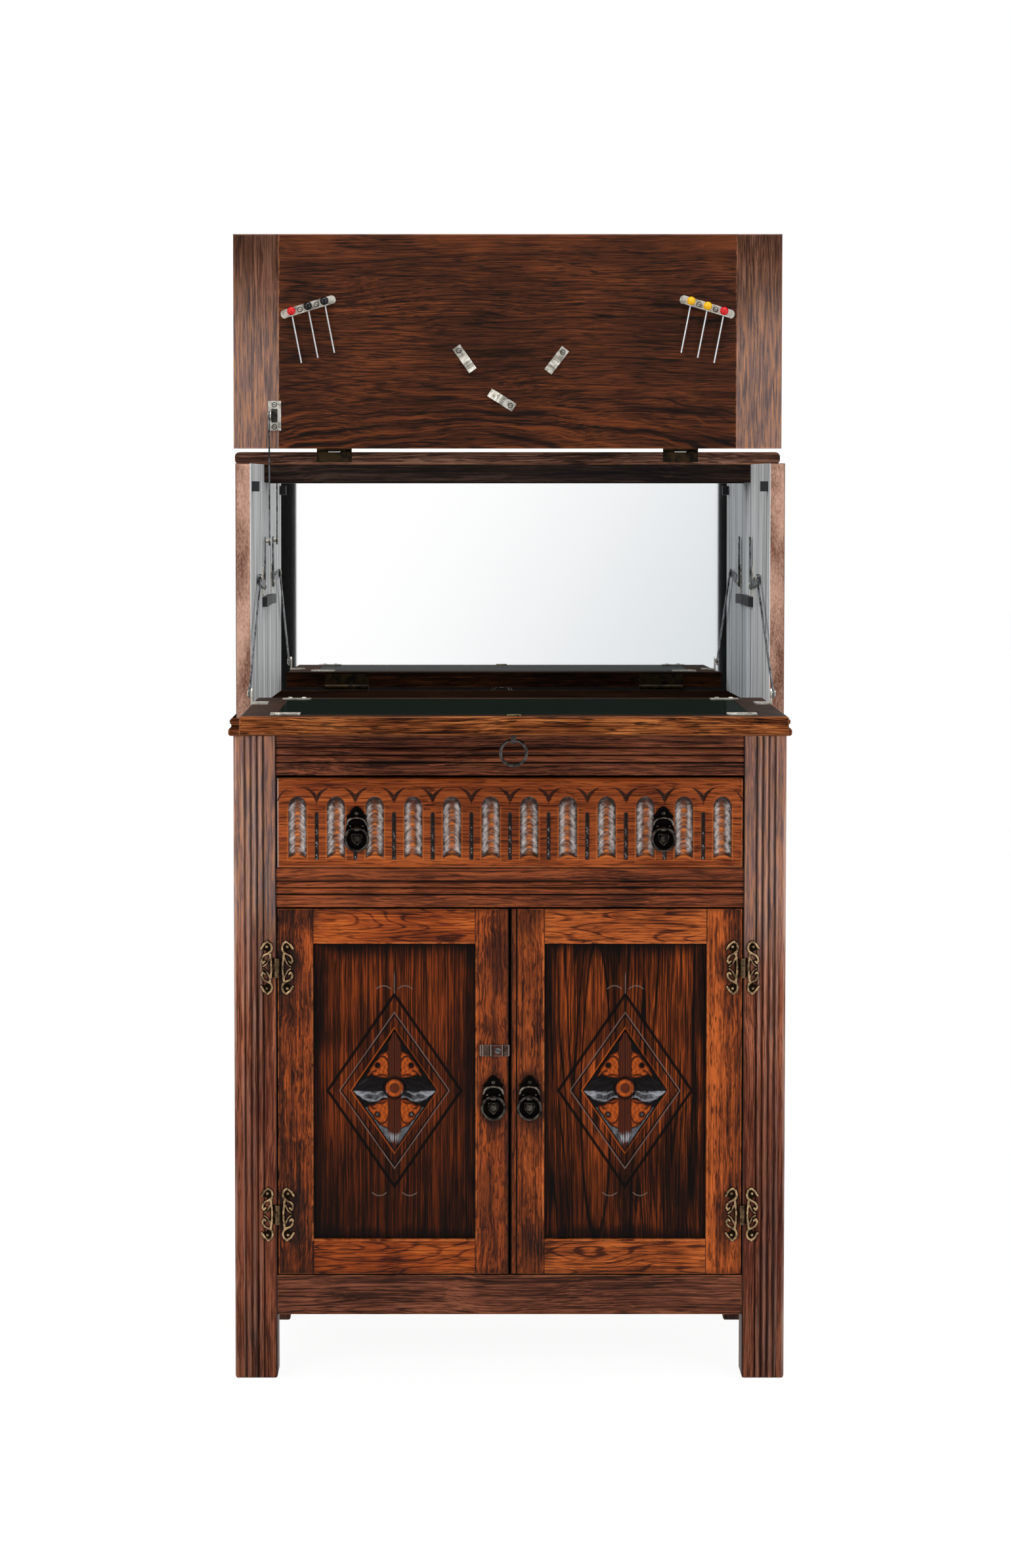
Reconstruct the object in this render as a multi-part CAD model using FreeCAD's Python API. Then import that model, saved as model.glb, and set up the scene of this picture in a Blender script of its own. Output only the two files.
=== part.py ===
"""Oak bar cabinet with a fold-out glass-topped shelf, a linked lid, a drawer and a two-door cupboard."""

import FreeCAD
import Part
import math
import os

V = FreeCAD.Vector

# ---- Driving dimensions, mm. X runs right, Y back from the front face of the posts, Z up from the floor.

# Lower case
CASE_WIDTH = 762.0
CASE_DEPTH = 356.0
FRONT_POST_FACE = 59.0
FRONT_POST_DEPTH = 45.0
REAR_POST_FACE = 60.0
REAR_POST_DEPTH = 59.0
LEG_HEIGHT = 90.0
BOTTOM_RAIL_HEIGHT = 55.0
DOOR_HEIGHT = 510.5
MID_RAIL_HEIGHT = 53.5
DRAWER_FRONT_HEIGHT = 124.0
DRAWER_TOP_GAP = 4.0
FRIEZE_HEIGHT = 54.5
RAIL_THICKNESS = 22.0
RAIL_SETBACK = 2.0
SIDE_PANEL_THICKNESS = 15.0
SIDE_PANEL_INSET = 8.0
BACK_THICKNESS = 6.0
FLOOR_THICKNESS = 12.0
SHELF_RISE = 259.0
SHELF_THICKNESS = 15.0
SHELF_FRONT = 70.0
CLEAT_SIZE = 16.0
FOOT_ROUND = 5.0
POST_CORNER_ROUND = 8.0
POST_COVE_START = 15.5
POST_COVE_END = 24.0
POST_COVE_DEPTH = 3.2
POST_COVE_LIP = 0.8
POST_BEADS_END = 41.5
BEAD_CREASE = 2.2
RAIL_BEADS_LOW = 17.0
MID_RAIL_BEADS_HIGH = 36.0
FRIEZE_BEADS_HIGH = 38.0

# Waist board
WAIST_THICKNESS = 24.0
WAIST_OVERHANG = 6.0
WAIST_LOWER_BEAD = 11.0
WAIST_UPPER_BEAD = 8.5
WAIST_BEAD_ROUND = 3.8
WAIST_NECK_SETBACK = 4.0
WAIST_UPPER_SETBACK = 2.0

# Upper case
UPPER_INSET = 4.5
UPPER_HEIGHT = 350.0
UPPER_SIDE_THICKNESS = 21.0
UPPER_EDGE_ROUND = 4.0
MIRROR_THICKNESS = 5.0
APRON_HEIGHT = 26.5
APRON_THICKNESS = 18.0
STOP_BLOCK_LENGTH = 14.0
STOP_BLOCK_HEIGHT = 14.0
STOP_BLOCK_REACH = 10.0
STOP_BLOCK_DROP = 24.5
BEARER_REACH = 7.0
BEARER_HEIGHT = 14.0
BEARER_LENGTH = 105.0
BEARER_RISE = 143.5

# Hinge rail and lid
LID_SIDE_OVERHANG = 22.0
LID_THICKNESS = 17.5
LID_FRONT_OVERHANG = 21.0
LID_CLEAT_WIDTH = 66.0
LID_FRONT_PLANK = 120.0
LID_EDGE_ROUND = 3.0
LID_SEAT_GAP = 0.5
HINGE_RAIL_DEPTH = 65.5
HINGE_RAIL_THICKNESS = 18.0
HINGE_RAIL_ROUND = 7.0
LID_EDGE_GAP = 0.5
LID_HINGE_RADIUS = 4.0
LID_HINGE_LENGTH = 51.0
LID_HINGE_SPACING = 506.0
LID_HINGE_LEAF_WIDTH = 14.5

# Flap: the fold-out shelf
FLAP_SIDE_GAP = 8.0
FLAP_THICKNESS = 24.0
FLAP_TOP_GAP = 0.5
FLAP_HINGE_RADIUS = 4.3
FLAP_HINGE_LENGTH = 70.0
FLAP_HINGE_SPACING = 502.0
FLAP_HINGE_LEAF_WIDTH = 16.0
FLAP_HINGE_LIFT = 5.0
FLAP_EDGE_ROUND = 3.5
GLASS_SIDE_MARGIN = 45.5
GLASS_END_MARGIN = 36.0
GLASS_THICKNESS = 6.0
GLASS_PROUD = 0.5
GLASS_CLIP_LENGTH = 38.0
GLASS_CLIP_WIDTH = 20.0
GLASS_CLIP_LAP = 9.0
GLASS_CLIP_OVERRUN = 7.6
GLASS_CLIP_SHEET = 1.5
GLASS_CLIP_PLAY = 0.1
STRIKE_WIDTH = 18.0
STRIKE_DEPTH = 14.0
STRIKE_SHEET = 1.5
STRIKE_SETBACK = 6.0
KEYHOLE_RADIUS = 2.5
KEYHOLE_SETBACK = 5.0

# Linkage pivots in the side view, with lid and flap open: each one's distance in front of and above
# the mirror and waist board, the lid's hinge axis and the flap's; the lever's arms from its own pivot
WALL_PIVOT_REACH = 93.0
WALL_PIVOT_RISE = 174.5
LID_PIVOT_REACH = 32.0
LID_PIVOT_RISE = 48.0
FLAP_PIVOT_REACH = 118.0
FLAP_PIVOT_RISE = 37.5
LEVER_LID_ARM = (7.0, 63.89)
LEVER_FLAP_ARM = (-129.5, 13.68)
LINK_SHEET = 2.0
LINK_GAP = 0.3
WALL_PLATE_LENGTH = 43.0
WALL_PLATE_WIDTH = 30.0
WALL_PLATE_GAP = 2.0
LEVER_WIDTH = 12.0
FLAP_ROD_WIDTH = 7.0
LID_ROD_WIDTH = 5.0
EYE_RADIUS = 6.5
PIVOT_RADIUS = 2.5
RIVET_HEAD_RADIUS = 4.0
RIVET_HEAD_HEIGHT = 1.0
BRACKET_SHEET = 2.0
LID_BRACKET_WIDTH = 19.0
LID_BRACKET_LENGTH = 43.0
FLAP_BRACKET_WIDTH = 23.0
FLAP_BRACKET_LENGTH = 30.0

# Cocktail picks, their racks and the spring clips on the lid's underside
RACK_LENGTH = 82.6
RACK_WIDTH = 12.7
RACK_SHEET = 1.2
RACK_LEDGE = 14.0
RACK_TILT = 17.0
RACK_INSET = 109.0
RACK_RISE = 205.5
RACK_END = 5.0
PICK_SPACING = 25.0
BEAD_RADIUS = 6.25
PIN_RADIUS = 1.1
PIN_LENGTH = 70.0
PICK_LEAN = 11.0
RACK_HOLE_RADIUS = 2.4
CLIP_LENGTH = 43.0
CLIP_WIDTH = 13.0
CLIP_SHEET = 1.0
CLIP_ARCH_RADIUS = 8.0
CLIP_TAIL_ANGLE = 20.0
CLIP_PLACES = ((-71.0, 142.5, -54.9), (80.0, 140.0, -127.4), (4.0, 63.0, 148.0))  # x, rise, turn
SCREW_HEAD_RADIUS = 3.0

# Doors
DOOR_THICKNESS = 22.0
DOOR_GAP = 1.5
DOOR_MEETING_GAP = 2.5
HINGE_STILE = 49.0
MEETING_STILE = 46.5
DOOR_RAIL = 49.0
DOOR_EDGE_ROUND = 2.0
PANEL_SETBACK = 6.0
PANEL_THICKNESS = 9.0
PANEL_TONGUE = 6.0
PANEL_PLAY = 0.3
MEETING_BEAD = 7.0
MEETING_QUIRK = 1.4
MEETING_QUIRK_DEPTH = 2.0
LOZENGE_RISE = 0.8
LOZENGE_HALF_WIDTH = 58.5
LOZENGE_HALF_HEIGHT = 84.5
LOZENGE_DEPTH = 3.5
LOZENGE_GROOVES = ((92.4, 135.2, 1.9, 0.6), (77.5, 110.4, 4.2, 1.3))  # half width, half height, width, depth
BOSS_RADIUS = 14.35
BOSS_SETBACK = 0.2
BOSS_ROUND = 1.5
LEAF_START = 4.0
LEAF_END_MARGIN = 10.0
LEAF_HALF_WIDTH = 11.0
LEAF_HEIGHT = 2.6

# Door hinges
DOOR_HINGE_HEIGHT = 27.0
DOOR_HINGE_RADIUS = 4.0
DOOR_HINGE_BOTTOM_INSET = 84.5
DOOR_HINGE_TOP_INSET = 82.0
DOOR_LEAF_NEAR = 3.0
DOOR_LEAF_REACH = 12.0
DOOR_LEAF_SHEET = 1.5
DOOR_HINGE_DISCS = ((9.0, 8.0, 7.0), (13.5, 18.5, 7.5), (9.5, 27.5, 5.5), (15.0, 32.5, 6.3))

# Pulls
PLATE_SHEET = 2.5
PULL_DISC_RADIUS = 16.0
PULL_CROWN_HEIGHT = 45.0
PULL_CROWN_WIDTH = 27.0
RING_RADIUS = 15.7
RING_WIRE_RADIUS = 2.1
RING_BAR_HALF = 6.0
LUG_WIDTH = 7.0
LUG_RADIUS = 4.0
RING_STANDOFF = 6.6
HEART_RADIUS = 8.0
HEART_HEIGHT = 3.5
DOOR_LEFT_PULL_INSET = 21.55
DOOR_RIGHT_PULL_INSET = 25.95
DOOR_PULL_RISE = 233.8
DRAWER_PULL_INSET = 111.0
DRAWER_PULL_RISE = 40.5
FLAP_RING_SETBACK = 35.0
FLAP_RING_STANDOFF = 9.5
FLAP_RING_RADIUS = 16.5
FLAP_PLATE_WIDTH = 47.0
FLAP_PLATE_DEPTH = 20.0
FLAP_PLATE_SHEET = 2.0

# Turn latch
LATCH_WIDTH = 16.0
LATCH_SHEET = 1.8
LATCH_LEFT = 25.1
LATCH_RIGHT = 16.0
LATCH_INSET = 15.35
LATCH_RISE = 313.5
LATCH_LIFT = 1.2
LATCH_EDGE_ROUND = 1.5
LATCH_HUMP_HALF = 6.0
LATCH_HUMP_HEIGHT = 1.0
LATCH_SCREW_RADIUS = 2.5
LATCH_HEAD_RADIUS = 4.2
LATCH_HEAD_HEIGHT = 1.5
LATCH_WASHER_RADIUS = 4.5

# Drawer
DRAWER_SIDE_GAP = 1.0
DRAWER_BOTTOM_GAP = 1.0
DRAWER_FRONT_THICKNESS = 20.0
DRAWER_EDGE_ROUND = 5.0
DRAWER_BOX_INSET = 11.0
DRAWER_BOX_DROP = 20.0
DRAWER_REAR_GAP = 9.0
DRAWER_SIDE_THICKNESS = 11.0
DRAWER_BOTTOM_THICKNESS = 5.0
DRAWER_BOTTOM_LIFT = 9.0
RUNNER_HEIGHT = 16.0
RUNNER_GAP = 0.3
FLUTE_COUNT = 12
FLUTE_MARGIN = 1.8
FLUTE_WIDTH = 25.6
FLUTE_DEPTH = 5.0
FLUTE_BASE = 13.0
FLUTE_TOP_MARGIN = 24.0
REED_WIDTH = 6.0
REED_DEPTH = 1.6
REED_BASE = 12.0
REED_TOP_MARGIN = 46.4

# Clearances
RUNNING_GAP = 0.05
KNUCKLE_GAP = 0.3
POCKET_GAP = 0.2

# ---- Levels and planes that follow from them

CASE_HALF = CASE_WIDTH / 2
OPENING_HALF = CASE_HALF - FRONT_POST_FACE
REAR_OPENING_HALF = CASE_HALF - REAR_POST_FACE
REAR_POST_FRONT = CASE_DEPTH - REAR_POST_DEPTH
SIDE_PANEL_OUTER = CASE_HALF - SIDE_PANEL_INSET
SIDE_PANEL_INNER = SIDE_PANEL_OUTER - SIDE_PANEL_THICKNESS
RAIL_BACK = RAIL_SETBACK + RAIL_THICKNESS
LOWER_BACK_FRONT = CASE_DEPTH - 2 * BACK_THICKNESS
BOTTOM_RAIL_TOP = LEG_HEIGHT + BOTTOM_RAIL_HEIGHT
DOOR_BOTTOM = BOTTOM_RAIL_TOP + DOOR_GAP
DOOR_TOP = DOOR_BOTTOM + DOOR_HEIGHT
MID_RAIL_BOTTOM = DOOR_TOP + DOOR_GAP
MID_RAIL_TOP = MID_RAIL_BOTTOM + MID_RAIL_HEIGHT
DRAWER_BOTTOM = MID_RAIL_TOP + DRAWER_BOTTOM_GAP
DRAWER_TOP = DRAWER_BOTTOM + DRAWER_FRONT_HEIGHT
FRIEZE_BOTTOM = DRAWER_TOP + DRAWER_TOP_GAP
WAIST_BOTTOM = FRIEZE_BOTTOM + FRIEZE_HEIGHT
WAIST_TOP = WAIST_BOTTOM + WAIST_THICKNESS
SHELF_HEIGHT = BOTTOM_RAIL_TOP + SHELF_RISE
DRAWER_BOX_HALF = OPENING_HALF - DRAWER_BOX_INSET
DRAWER_PULL_OFFSET = OPENING_HALF - DRAWER_PULL_INSET
UPPER_HALF = CASE_HALF - UPPER_INSET
WALL = UPPER_HALF - UPPER_SIDE_THICKNESS
UPPER_TOP = WAIST_TOP + UPPER_HEIGHT
UPPER_BACK_FRONT = CASE_DEPTH - BACK_THICKNESS
MIRROR_FRONT = UPPER_BACK_FRONT - MIRROR_THICKNESS
RAIL_FRONT = CASE_DEPTH - HINGE_RAIL_DEPTH
RAIL_TOP = UPPER_TOP + HINGE_RAIL_THICKNESS
LID_HALF = UPPER_HALF + LID_SIDE_OVERHANG
LID_AXIS = (RAIL_FRONT - LID_EDGE_GAP, RAIL_TOP + LID_HINGE_RADIUS + LID_SEAT_GAP)
LID_UNDER = RAIL_TOP - LID_THICKNESS
LID_REAR_EDGE = LID_AXIS[0] - LID_EDGE_GAP
FLAP_AXIS = (0.0, WAIST_TOP + FLAP_HINGE_LIFT)
FLAP_REACH = LID_UNDER - FLAP_TOP_GAP - FLAP_AXIS[1]
FLAP_NEAR = FLAP_AXIS[0] - FLAP_REACH
FLAP_REAR_EDGE = FLAP_AXIS[0] - FLAP_HINGE_LIFT
FLAP_TOP = FLAP_AXIS[1] + FLAP_THICKNESS
FLAP_HALF = WALL - FLAP_SIDE_GAP
CENTRE_Y = (CASE_DEPTH + FLAP_NEAR) / 2
LID_FACE = LID_AXIS[0] + LID_UNDER - LID_AXIS[1]

WALL_PIVOT = (MIRROR_FRONT - WALL_PIVOT_REACH, WAIST_TOP + WALL_PIVOT_RISE)
LID_PIVOT = (LID_AXIS[0] - LID_PIVOT_REACH, LID_AXIS[1] + LID_PIVOT_RISE)
FLAP_PIVOT = (FLAP_AXIS[0] - FLAP_PIVOT_REACH, FLAP_AXIS[1] + FLAP_PIVOT_RISE)
LEVER_LID_END = (WALL_PIVOT[0] + LEVER_LID_ARM[0], WALL_PIVOT[1] + LEVER_LID_ARM[1])
LEVER_FLAP_END = (WALL_PIVOT[0] + LEVER_FLAP_ARM[0], WALL_PIVOT[1] + LEVER_FLAP_ARM[1])

nodes = {}


# ---- Tools

def box(x0, x1, y0, y1, z0, z1):
    return Part.makeBox(x1 - x0, y1 - y0, z1 - z0, V(x0, y0, z0))


def rod(start, end, radius):
    along = V(*end) - V(*start)
    return Part.makeCylinder(radius, along.Length, V(*start), along)


def bar_x(x0, x1, centre, radius):
    """Round bar along X through the side-view point centre."""
    return rod((x0, centre[0], centre[1]), (x1, centre[0], centre[1]), radius)


def flipped(shape):
    return shape.mirror(V(0, 0, 0), V(1, 0, 0))


def pair(shape):
    return [shape, flipped(shape)]


def face_of(start, steps):
    """Plane face from a start point and steps: (point,) for a line, (through, point) for an arc."""
    here = V(*start)
    edges = []
    for step in steps:
        end = V(*step[-1])
        if len(step) == 1:
            edges.append(Part.LineSegment(here, end).toShape())
        else:
            edges.append(Part.Arc(here, V(*step[0]), end).toShape())
        here = end
    if here.distanceToPoint(V(*start)) > 1e-6:
        edges.append(Part.LineSegment(here, V(*start)).toShape())
    return Part.Face(Part.Wire(edges))


def prism(points, along):
    corners = [V(*p) for p in points]
    return Part.Face(Part.makePolygon(corners + corners[:1])).extrude(V(*along))


def rounded(shape, radius, wanted):
    """Fillet the edges whose middle passes the test."""
    chosen = [e for e in shape.Edges if wanted(e.BoundBox.Center, e)]
    return shape.makeFillet(radius, chosen)


def near(a, b):
    return abs(a - b) < 0.01


def fused(shapes):
    whole = shapes[0].fuse(shapes[1:]) if len(shapes) > 1 else shapes[0]
    return whole.removeSplitter()


def turned(shape, centre, axis, degrees):
    copy = shape.copy()
    copy.rotate(V(*centre), V(*axis), degrees)
    return copy


def moved(shape, x, y, z):
    copy = shape.copy()
    copy.translate(V(x, y, z))
    return copy


def lid_opened(shape):
    """Carry a piece drawn on the closed lid to its open place."""
    return turned(shape, (0, LID_AXIS[0], LID_AXIS[1]), (1, 0, 0), -90)


def add(name, shapes):
    solids = []
    for shape in shapes if isinstance(shapes, list) else [shapes]:
        solids += shape.Solids
    nodes[name] = solids


# ---- Lower case

def reeds_between(low, high, count, depth, place):
    """Half-round beads side by side with creases between them, from low to high, as path steps."""
    pitch = (high - low) / count
    steps = []
    for i in range(count):
        start = low + i * pitch
        steps.append((place(start + pitch / 2, 0), place(start + pitch, depth)))
    return steps


def front_post():
    """Right front post: rounded outer corner, and a cove and two beads down its face."""
    inner, outer = OPENING_HALF, CASE_HALF
    corner = POST_CORNER_ROUND
    slant = corner * (1 - math.sqrt(0.5))
    cove_out, cove_in, bead_end = outer - POST_COVE_START, outer - POST_COVE_END, outer - POST_BEADS_END
    cove_middle = ((cove_in + cove_out) / 2, POST_COVE_DEPTH - POST_COVE_LIP / 2, 0)
    steps = [((bead_end, 0, 0),), ((bead_end, BEAD_CREASE, 0),)]
    steps += reeds_between(bead_end, cove_in, 2, BEAD_CREASE, lambda x, y: (x, y, 0))
    steps += [((cove_in, POST_COVE_DEPTH, 0),), (cove_middle, (cove_out, POST_COVE_LIP, 0))]
    steps += [((cove_out, 0, 0),), ((outer - corner, 0, 0),), ((outer - slant, slant, 0), (outer, corner, 0))]
    steps += [((outer, FRONT_POST_DEPTH, 0),), ((inner, FRONT_POST_DEPTH, 0),)]
    post = face_of((inner, 0, 0), steps).extrude(V(0, 0, WAIST_BOTTOM))
    foot = box(inner, outer, 0, FRONT_POST_DEPTH, 0, WAIST_BOTTOM)
    foot = rounded(foot, FOOT_ROUND, lambda c, e: near(c.z, 0))
    return post.common(foot)


def make_posts():
    add("front_posts", pair(front_post()))
    rear = box(REAR_OPENING_HALF, CASE_HALF, REAR_POST_FRONT, CASE_DEPTH, 0, WAIST_BOTTOM)
    rear = rounded(rear, FOOT_ROUND, lambda c, e: near(c.z, 0))
    add("rear_posts", pair(rear))


def reeded_rail(bottom, top, beads_high):
    """Front rail with two beads between creases along it."""
    face, back, x = RAIL_SETBACK, RAIL_BACK, -OPENING_HALF
    low, high = bottom + RAIL_BEADS_LOW, bottom + beads_high
    steps = [((x, face, low),), ((x, face + BEAD_CREASE, low),)]
    steps += reeds_between(low, high, 2, BEAD_CREASE, lambda z, y: (x, face + y, z))
    steps += [((x, face, high),), ((x, face, top),), ((x, back, top),), ((x, back, bottom),)]
    return face_of((x, face, bottom), steps).extrude(V(2 * OPENING_HALF, 0, 0))


def make_rails():
    bottom = box(-OPENING_HALF, OPENING_HALF, RAIL_SETBACK, RAIL_BACK, LEG_HEIGHT, BOTTOM_RAIL_TOP)
    add("bottom_rail", bottom)
    add("mid_rail", reeded_rail(MID_RAIL_BOTTOM, MID_RAIL_TOP, MID_RAIL_BEADS_HIGH))
    add("frieze_rail", reeded_rail(FRIEZE_BOTTOM, WAIST_BOTTOM, FRIEZE_BEADS_HIGH))


def make_case_panels():
    side = box(SIDE_PANEL_INNER, SIDE_PANEL_OUTER, FRONT_POST_DEPTH, REAR_POST_FRONT,
               LEG_HEIGHT, WAIST_BOTTOM)
    add("base_side_panels", pair(side))
    lower = box(-REAR_OPENING_HALF, REAR_OPENING_HALF, LOWER_BACK_FRONT, LOWER_BACK_FRONT + BACK_THICKNESS,
                LEG_HEIGHT, WAIST_BOTTOM)
    upper = box(-UPPER_HALF, UPPER_HALF, UPPER_BACK_FRONT, CASE_DEPTH, WAIST_TOP, UPPER_TOP)
    add("back_panels", [lower, upper])


def case_board(z0, z1, front):
    """Board that fills the case between side panels, notched round the posts."""
    middle = box(-SIDE_PANEL_INNER, SIDE_PANEL_INNER, max(front, FRONT_POST_DEPTH), REAR_POST_FRONT, z0, z1)
    rear = box(-REAR_OPENING_HALF, REAR_OPENING_HALF, REAR_POST_FRONT, LOWER_BACK_FRONT, z0, z1)
    pieces = [middle, rear]
    if front < FRONT_POST_DEPTH:
        pieces.append(box(-OPENING_HALF, OPENING_HALF, front, FRONT_POST_DEPTH, z0, z1))
    return fused(pieces)


def make_cupboard_boards():
    floor = case_board(BOTTOM_RAIL_TOP - FLOOR_THICKNESS, BOTTOM_RAIL_TOP, RAIL_BACK)
    cleat = box(SIDE_PANEL_INNER - CLEAT_SIZE, SIDE_PANEL_INNER, SHELF_FRONT, REAR_POST_FRONT,
                SHELF_HEIGHT - CLEAT_SIZE, SHELF_HEIGHT)
    shelf = case_board(SHELF_HEIGHT, SHELF_HEIGHT + SHELF_THICKNESS, SHELF_FRONT)
    add("cupboard_boards", [floor, shelf] + pair(cleat))


def make_runners():
    inner = DRAWER_BOX_HALF - DRAWER_SIDE_THICKNESS
    top = DRAWER_BOTTOM
    runner = box(inner, SIDE_PANEL_INNER, FRONT_POST_DEPTH, REAR_POST_FRONT, top - RUNNER_HEIGHT, top)
    guide = box(DRAWER_BOX_HALF + RUNNER_GAP, SIDE_PANEL_INNER, FRONT_POST_DEPTH, REAR_POST_FRONT,
                top, top + RUNNER_HEIGHT)
    add("drawer_runners", pair(fused([runner, guide])))


# ---- Waist board

def bead_slab(setback, z0, z1):
    half = CASE_HALF + WAIST_OVERHANG - setback
    slab = box(-half, half, setback - WAIST_OVERHANG, CASE_DEPTH, z0, z1)
    return rounded(slab, WAIST_BEAD_ROUND,
                   lambda c, e: (near(c.z, z0) or near(c.z, z1)) and c.y < CASE_DEPTH - 1)


def make_waist_board():
    """Board between the cases, its front and side edges worked with two beads and a neck."""
    lower = bead_slab(0, WAIST_BOTTOM, WAIST_BOTTOM + WAIST_LOWER_BEAD)
    upper = bead_slab(WAIST_UPPER_SETBACK, WAIST_TOP - WAIST_UPPER_BEAD, WAIST_TOP)
    half = CASE_HALF + WAIST_OVERHANG - WAIST_NECK_SETBACK
    neck = box(-half, half, WAIST_NECK_SETBACK - WAIST_OVERHANG, CASE_DEPTH, WAIST_BOTTOM + 1, WAIST_TOP - 1)
    add("waist_board", fused([neck, lower, upper]))


# ---- Upper case

def make_upper_sides():
    side = box(WALL, UPPER_HALF, 0, UPPER_BACK_FRONT, WAIST_TOP, UPPER_TOP)
    side = rounded(side, UPPER_EDGE_ROUND,
                   lambda c, e: near(c.y, 0) and (near(c.z, UPPER_TOP) or near(c.x, UPPER_HALF)))
    add("upper_sides", pair(side))


def lid_leaf_recess(side):
    """Room for one lid hinge leaf on the lid's or the rail's edge, both sides of the joint."""
    half = LID_HINGE_LENGTH / 2 + POCKET_GAP
    x = side * LID_HINGE_SPACING / 2
    leaf = LID_HINGE_LEAF_WIDTH + POCKET_GAP
    return box(x - half, x + half, LID_REAR_EDGE - DOOR_LEAF_SHEET, RAIL_FRONT + DOOR_LEAF_SHEET,
               RAIL_TOP - leaf, RAIL_TOP + 1)


def make_hinge_rail():
    rail = box(-LID_HALF, LID_HALF, RAIL_FRONT, CASE_DEPTH, UPPER_TOP, RAIL_TOP)
    rail = rounded(rail, HINGE_RAIL_ROUND,
                   lambda c, e: near(abs(c.x), LID_HALF) and not near(c.y, RAIL_FRONT))
    add("hinge_rail", rail.cut([lid_leaf_recess(1), lid_leaf_recess(-1)]))
    apron = box(-WALL, WALL, RAIL_FRONT, RAIL_FRONT + APRON_THICKNESS, UPPER_TOP - APRON_HEIGHT, UPPER_TOP)
    add("apron", apron)


def make_mirror():
    add("mirror", box(-WALL, WALL, MIRROR_FRONT, UPPER_BACK_FRONT, WAIST_TOP, UPPER_TOP))


def make_wall_blocks():
    stop_top = UPPER_TOP - STOP_BLOCK_DROP
    stop_front = FLAP_THICKNESS + LINK_GAP
    stop = box(WALL - STOP_BLOCK_REACH, WALL, stop_front, stop_front + STOP_BLOCK_LENGTH,
               stop_top - STOP_BLOCK_HEIGHT, stop_top)
    add("flap_stop_blocks", pair(stop))
    rise = WAIST_TOP + BEARER_RISE
    bearer = box(WALL - BEARER_REACH, WALL, MIRROR_FRONT - BEARER_LENGTH, MIRROR_FRONT,
                 rise, rise + BEARER_HEIGHT)
    add("shelf_bearers", pair(bearer))


# ---- Hinges of lid and flap

def knuckles(length, centre_x, axis, radius, moving):
    """The knuckles of one leaf of a three-knuckle hinge; the fixed leaf also holds the pin."""
    third = length / 3
    pin = RUNNING_GAP + radius / 2
    if moving:
        start = centre_x - third / 2 + KNUCKLE_GAP
        barrel = bar_x(start, start + third - 2 * KNUCKLE_GAP, axis, radius)
        return barrel.cut(bar_x(start - 1, start + third, axis, pin))
    spans = ((centre_x - length / 2, centre_x - third / 2), (centre_x + third / 2, centre_x + length / 2))
    barrels = [bar_x(a, b, axis, radius) for a, b in spans]
    return fused(barrels + [bar_x(spans[0][0], spans[1][1], axis, radius / 2)])


def tab_spans(length, centre_x, moving):
    """Stretches of a leaf that reach its own knuckles."""
    third = length / 3
    if moving:
        return [(centre_x - third / 2 + KNUCKLE_GAP, centre_x + third / 2 - KNUCKLE_GAP)]
    return [(centre_x - length / 2, centre_x - third / 2), (centre_x + third / 2, centre_x + length / 2)]


def lid_hinge(side, moving):
    """One leaf of a lid hinge, drawn with the lid closed."""
    x = side * LID_HINGE_SPACING / 2
    half = LID_HINGE_LENGTH / 2
    if moving:
        y0, y1 = LID_REAR_EDGE - DOOR_LEAF_SHEET, LID_REAR_EDGE
    else:
        y0, y1 = RAIL_FRONT, RAIL_FRONT + DOOR_LEAF_SHEET
    pieces = [box(x - half, x + half, y0, y1, RAIL_TOP - LID_HINGE_LEAF_WIDTH, RAIL_TOP)]
    spans = tab_spans(LID_HINGE_LENGTH, x, moving)
    pieces += [box(a, b, y0, y1, RAIL_TOP - 1, LID_AXIS[1]) for a, b in spans]
    if moving:
        bore = bar_x(x - half, x + half, LID_AXIS, LID_HINGE_RADIUS / 2 + RUNNING_GAP)
        pieces = [piece.cut(bore) for piece in pieces]
    return fused(pieces + [knuckles(LID_HINGE_LENGTH, x, LID_AXIS, LID_HINGE_RADIUS, moving)])


def flap_hinge(side, moving):
    """One leaf of a flap hinge: fixed, on the waist board, or moving, on the flap's rear edge."""
    x = side * FLAP_HINGE_SPACING / 2
    half = FLAP_HINGE_LENGTH / 2
    spans = tab_spans(FLAP_HINGE_LENGTH, x, moving)
    clear = FLAP_HINGE_RADIUS + KNUCKLE_GAP
    if moving:
        y0, y1 = FLAP_REAR_EDGE, FLAP_REAR_EDGE + DOOR_LEAF_SHEET
        foot = FLAP_AXIS[1] + clear
        pieces = [box(x - half, x + half, y0, y1, foot, foot + FLAP_HINGE_LEAF_WIDTH)]
        pieces += [box(a, b, y0, y1, FLAP_AXIS[1], foot + 1) for a, b in spans]
    else:
        z0, z1 = WAIST_TOP, WAIST_TOP + DOOR_LEAF_SHEET
        pieces = [box(x - half, x + half, clear, clear + FLAP_HINGE_LEAF_WIDTH, z0, z1)]
        pieces += [box(a, b, FLAP_AXIS[0], clear + 1, z0, z1) for a, b in spans]
    return fused(pieces + [knuckles(FLAP_HINGE_LENGTH, x, FLAP_AXIS, FLAP_HINGE_RADIUS, moving)])


def make_bar_hinges():
    add("lid_hinge_fixed", [lid_hinge(s, False) for s in (-1, 1)])
    add("lid_hinge_leaves", [lid_opened(lid_hinge(s, True)) for s in (-1, 1)])
    add("flap_hinge_fixed", [flap_hinge(s, False) for s in (-1, 1)])
    add("flap_hinge_leaves", [flap_hinge(s, True) for s in (-1, 1)])


# ---- Lid

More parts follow.
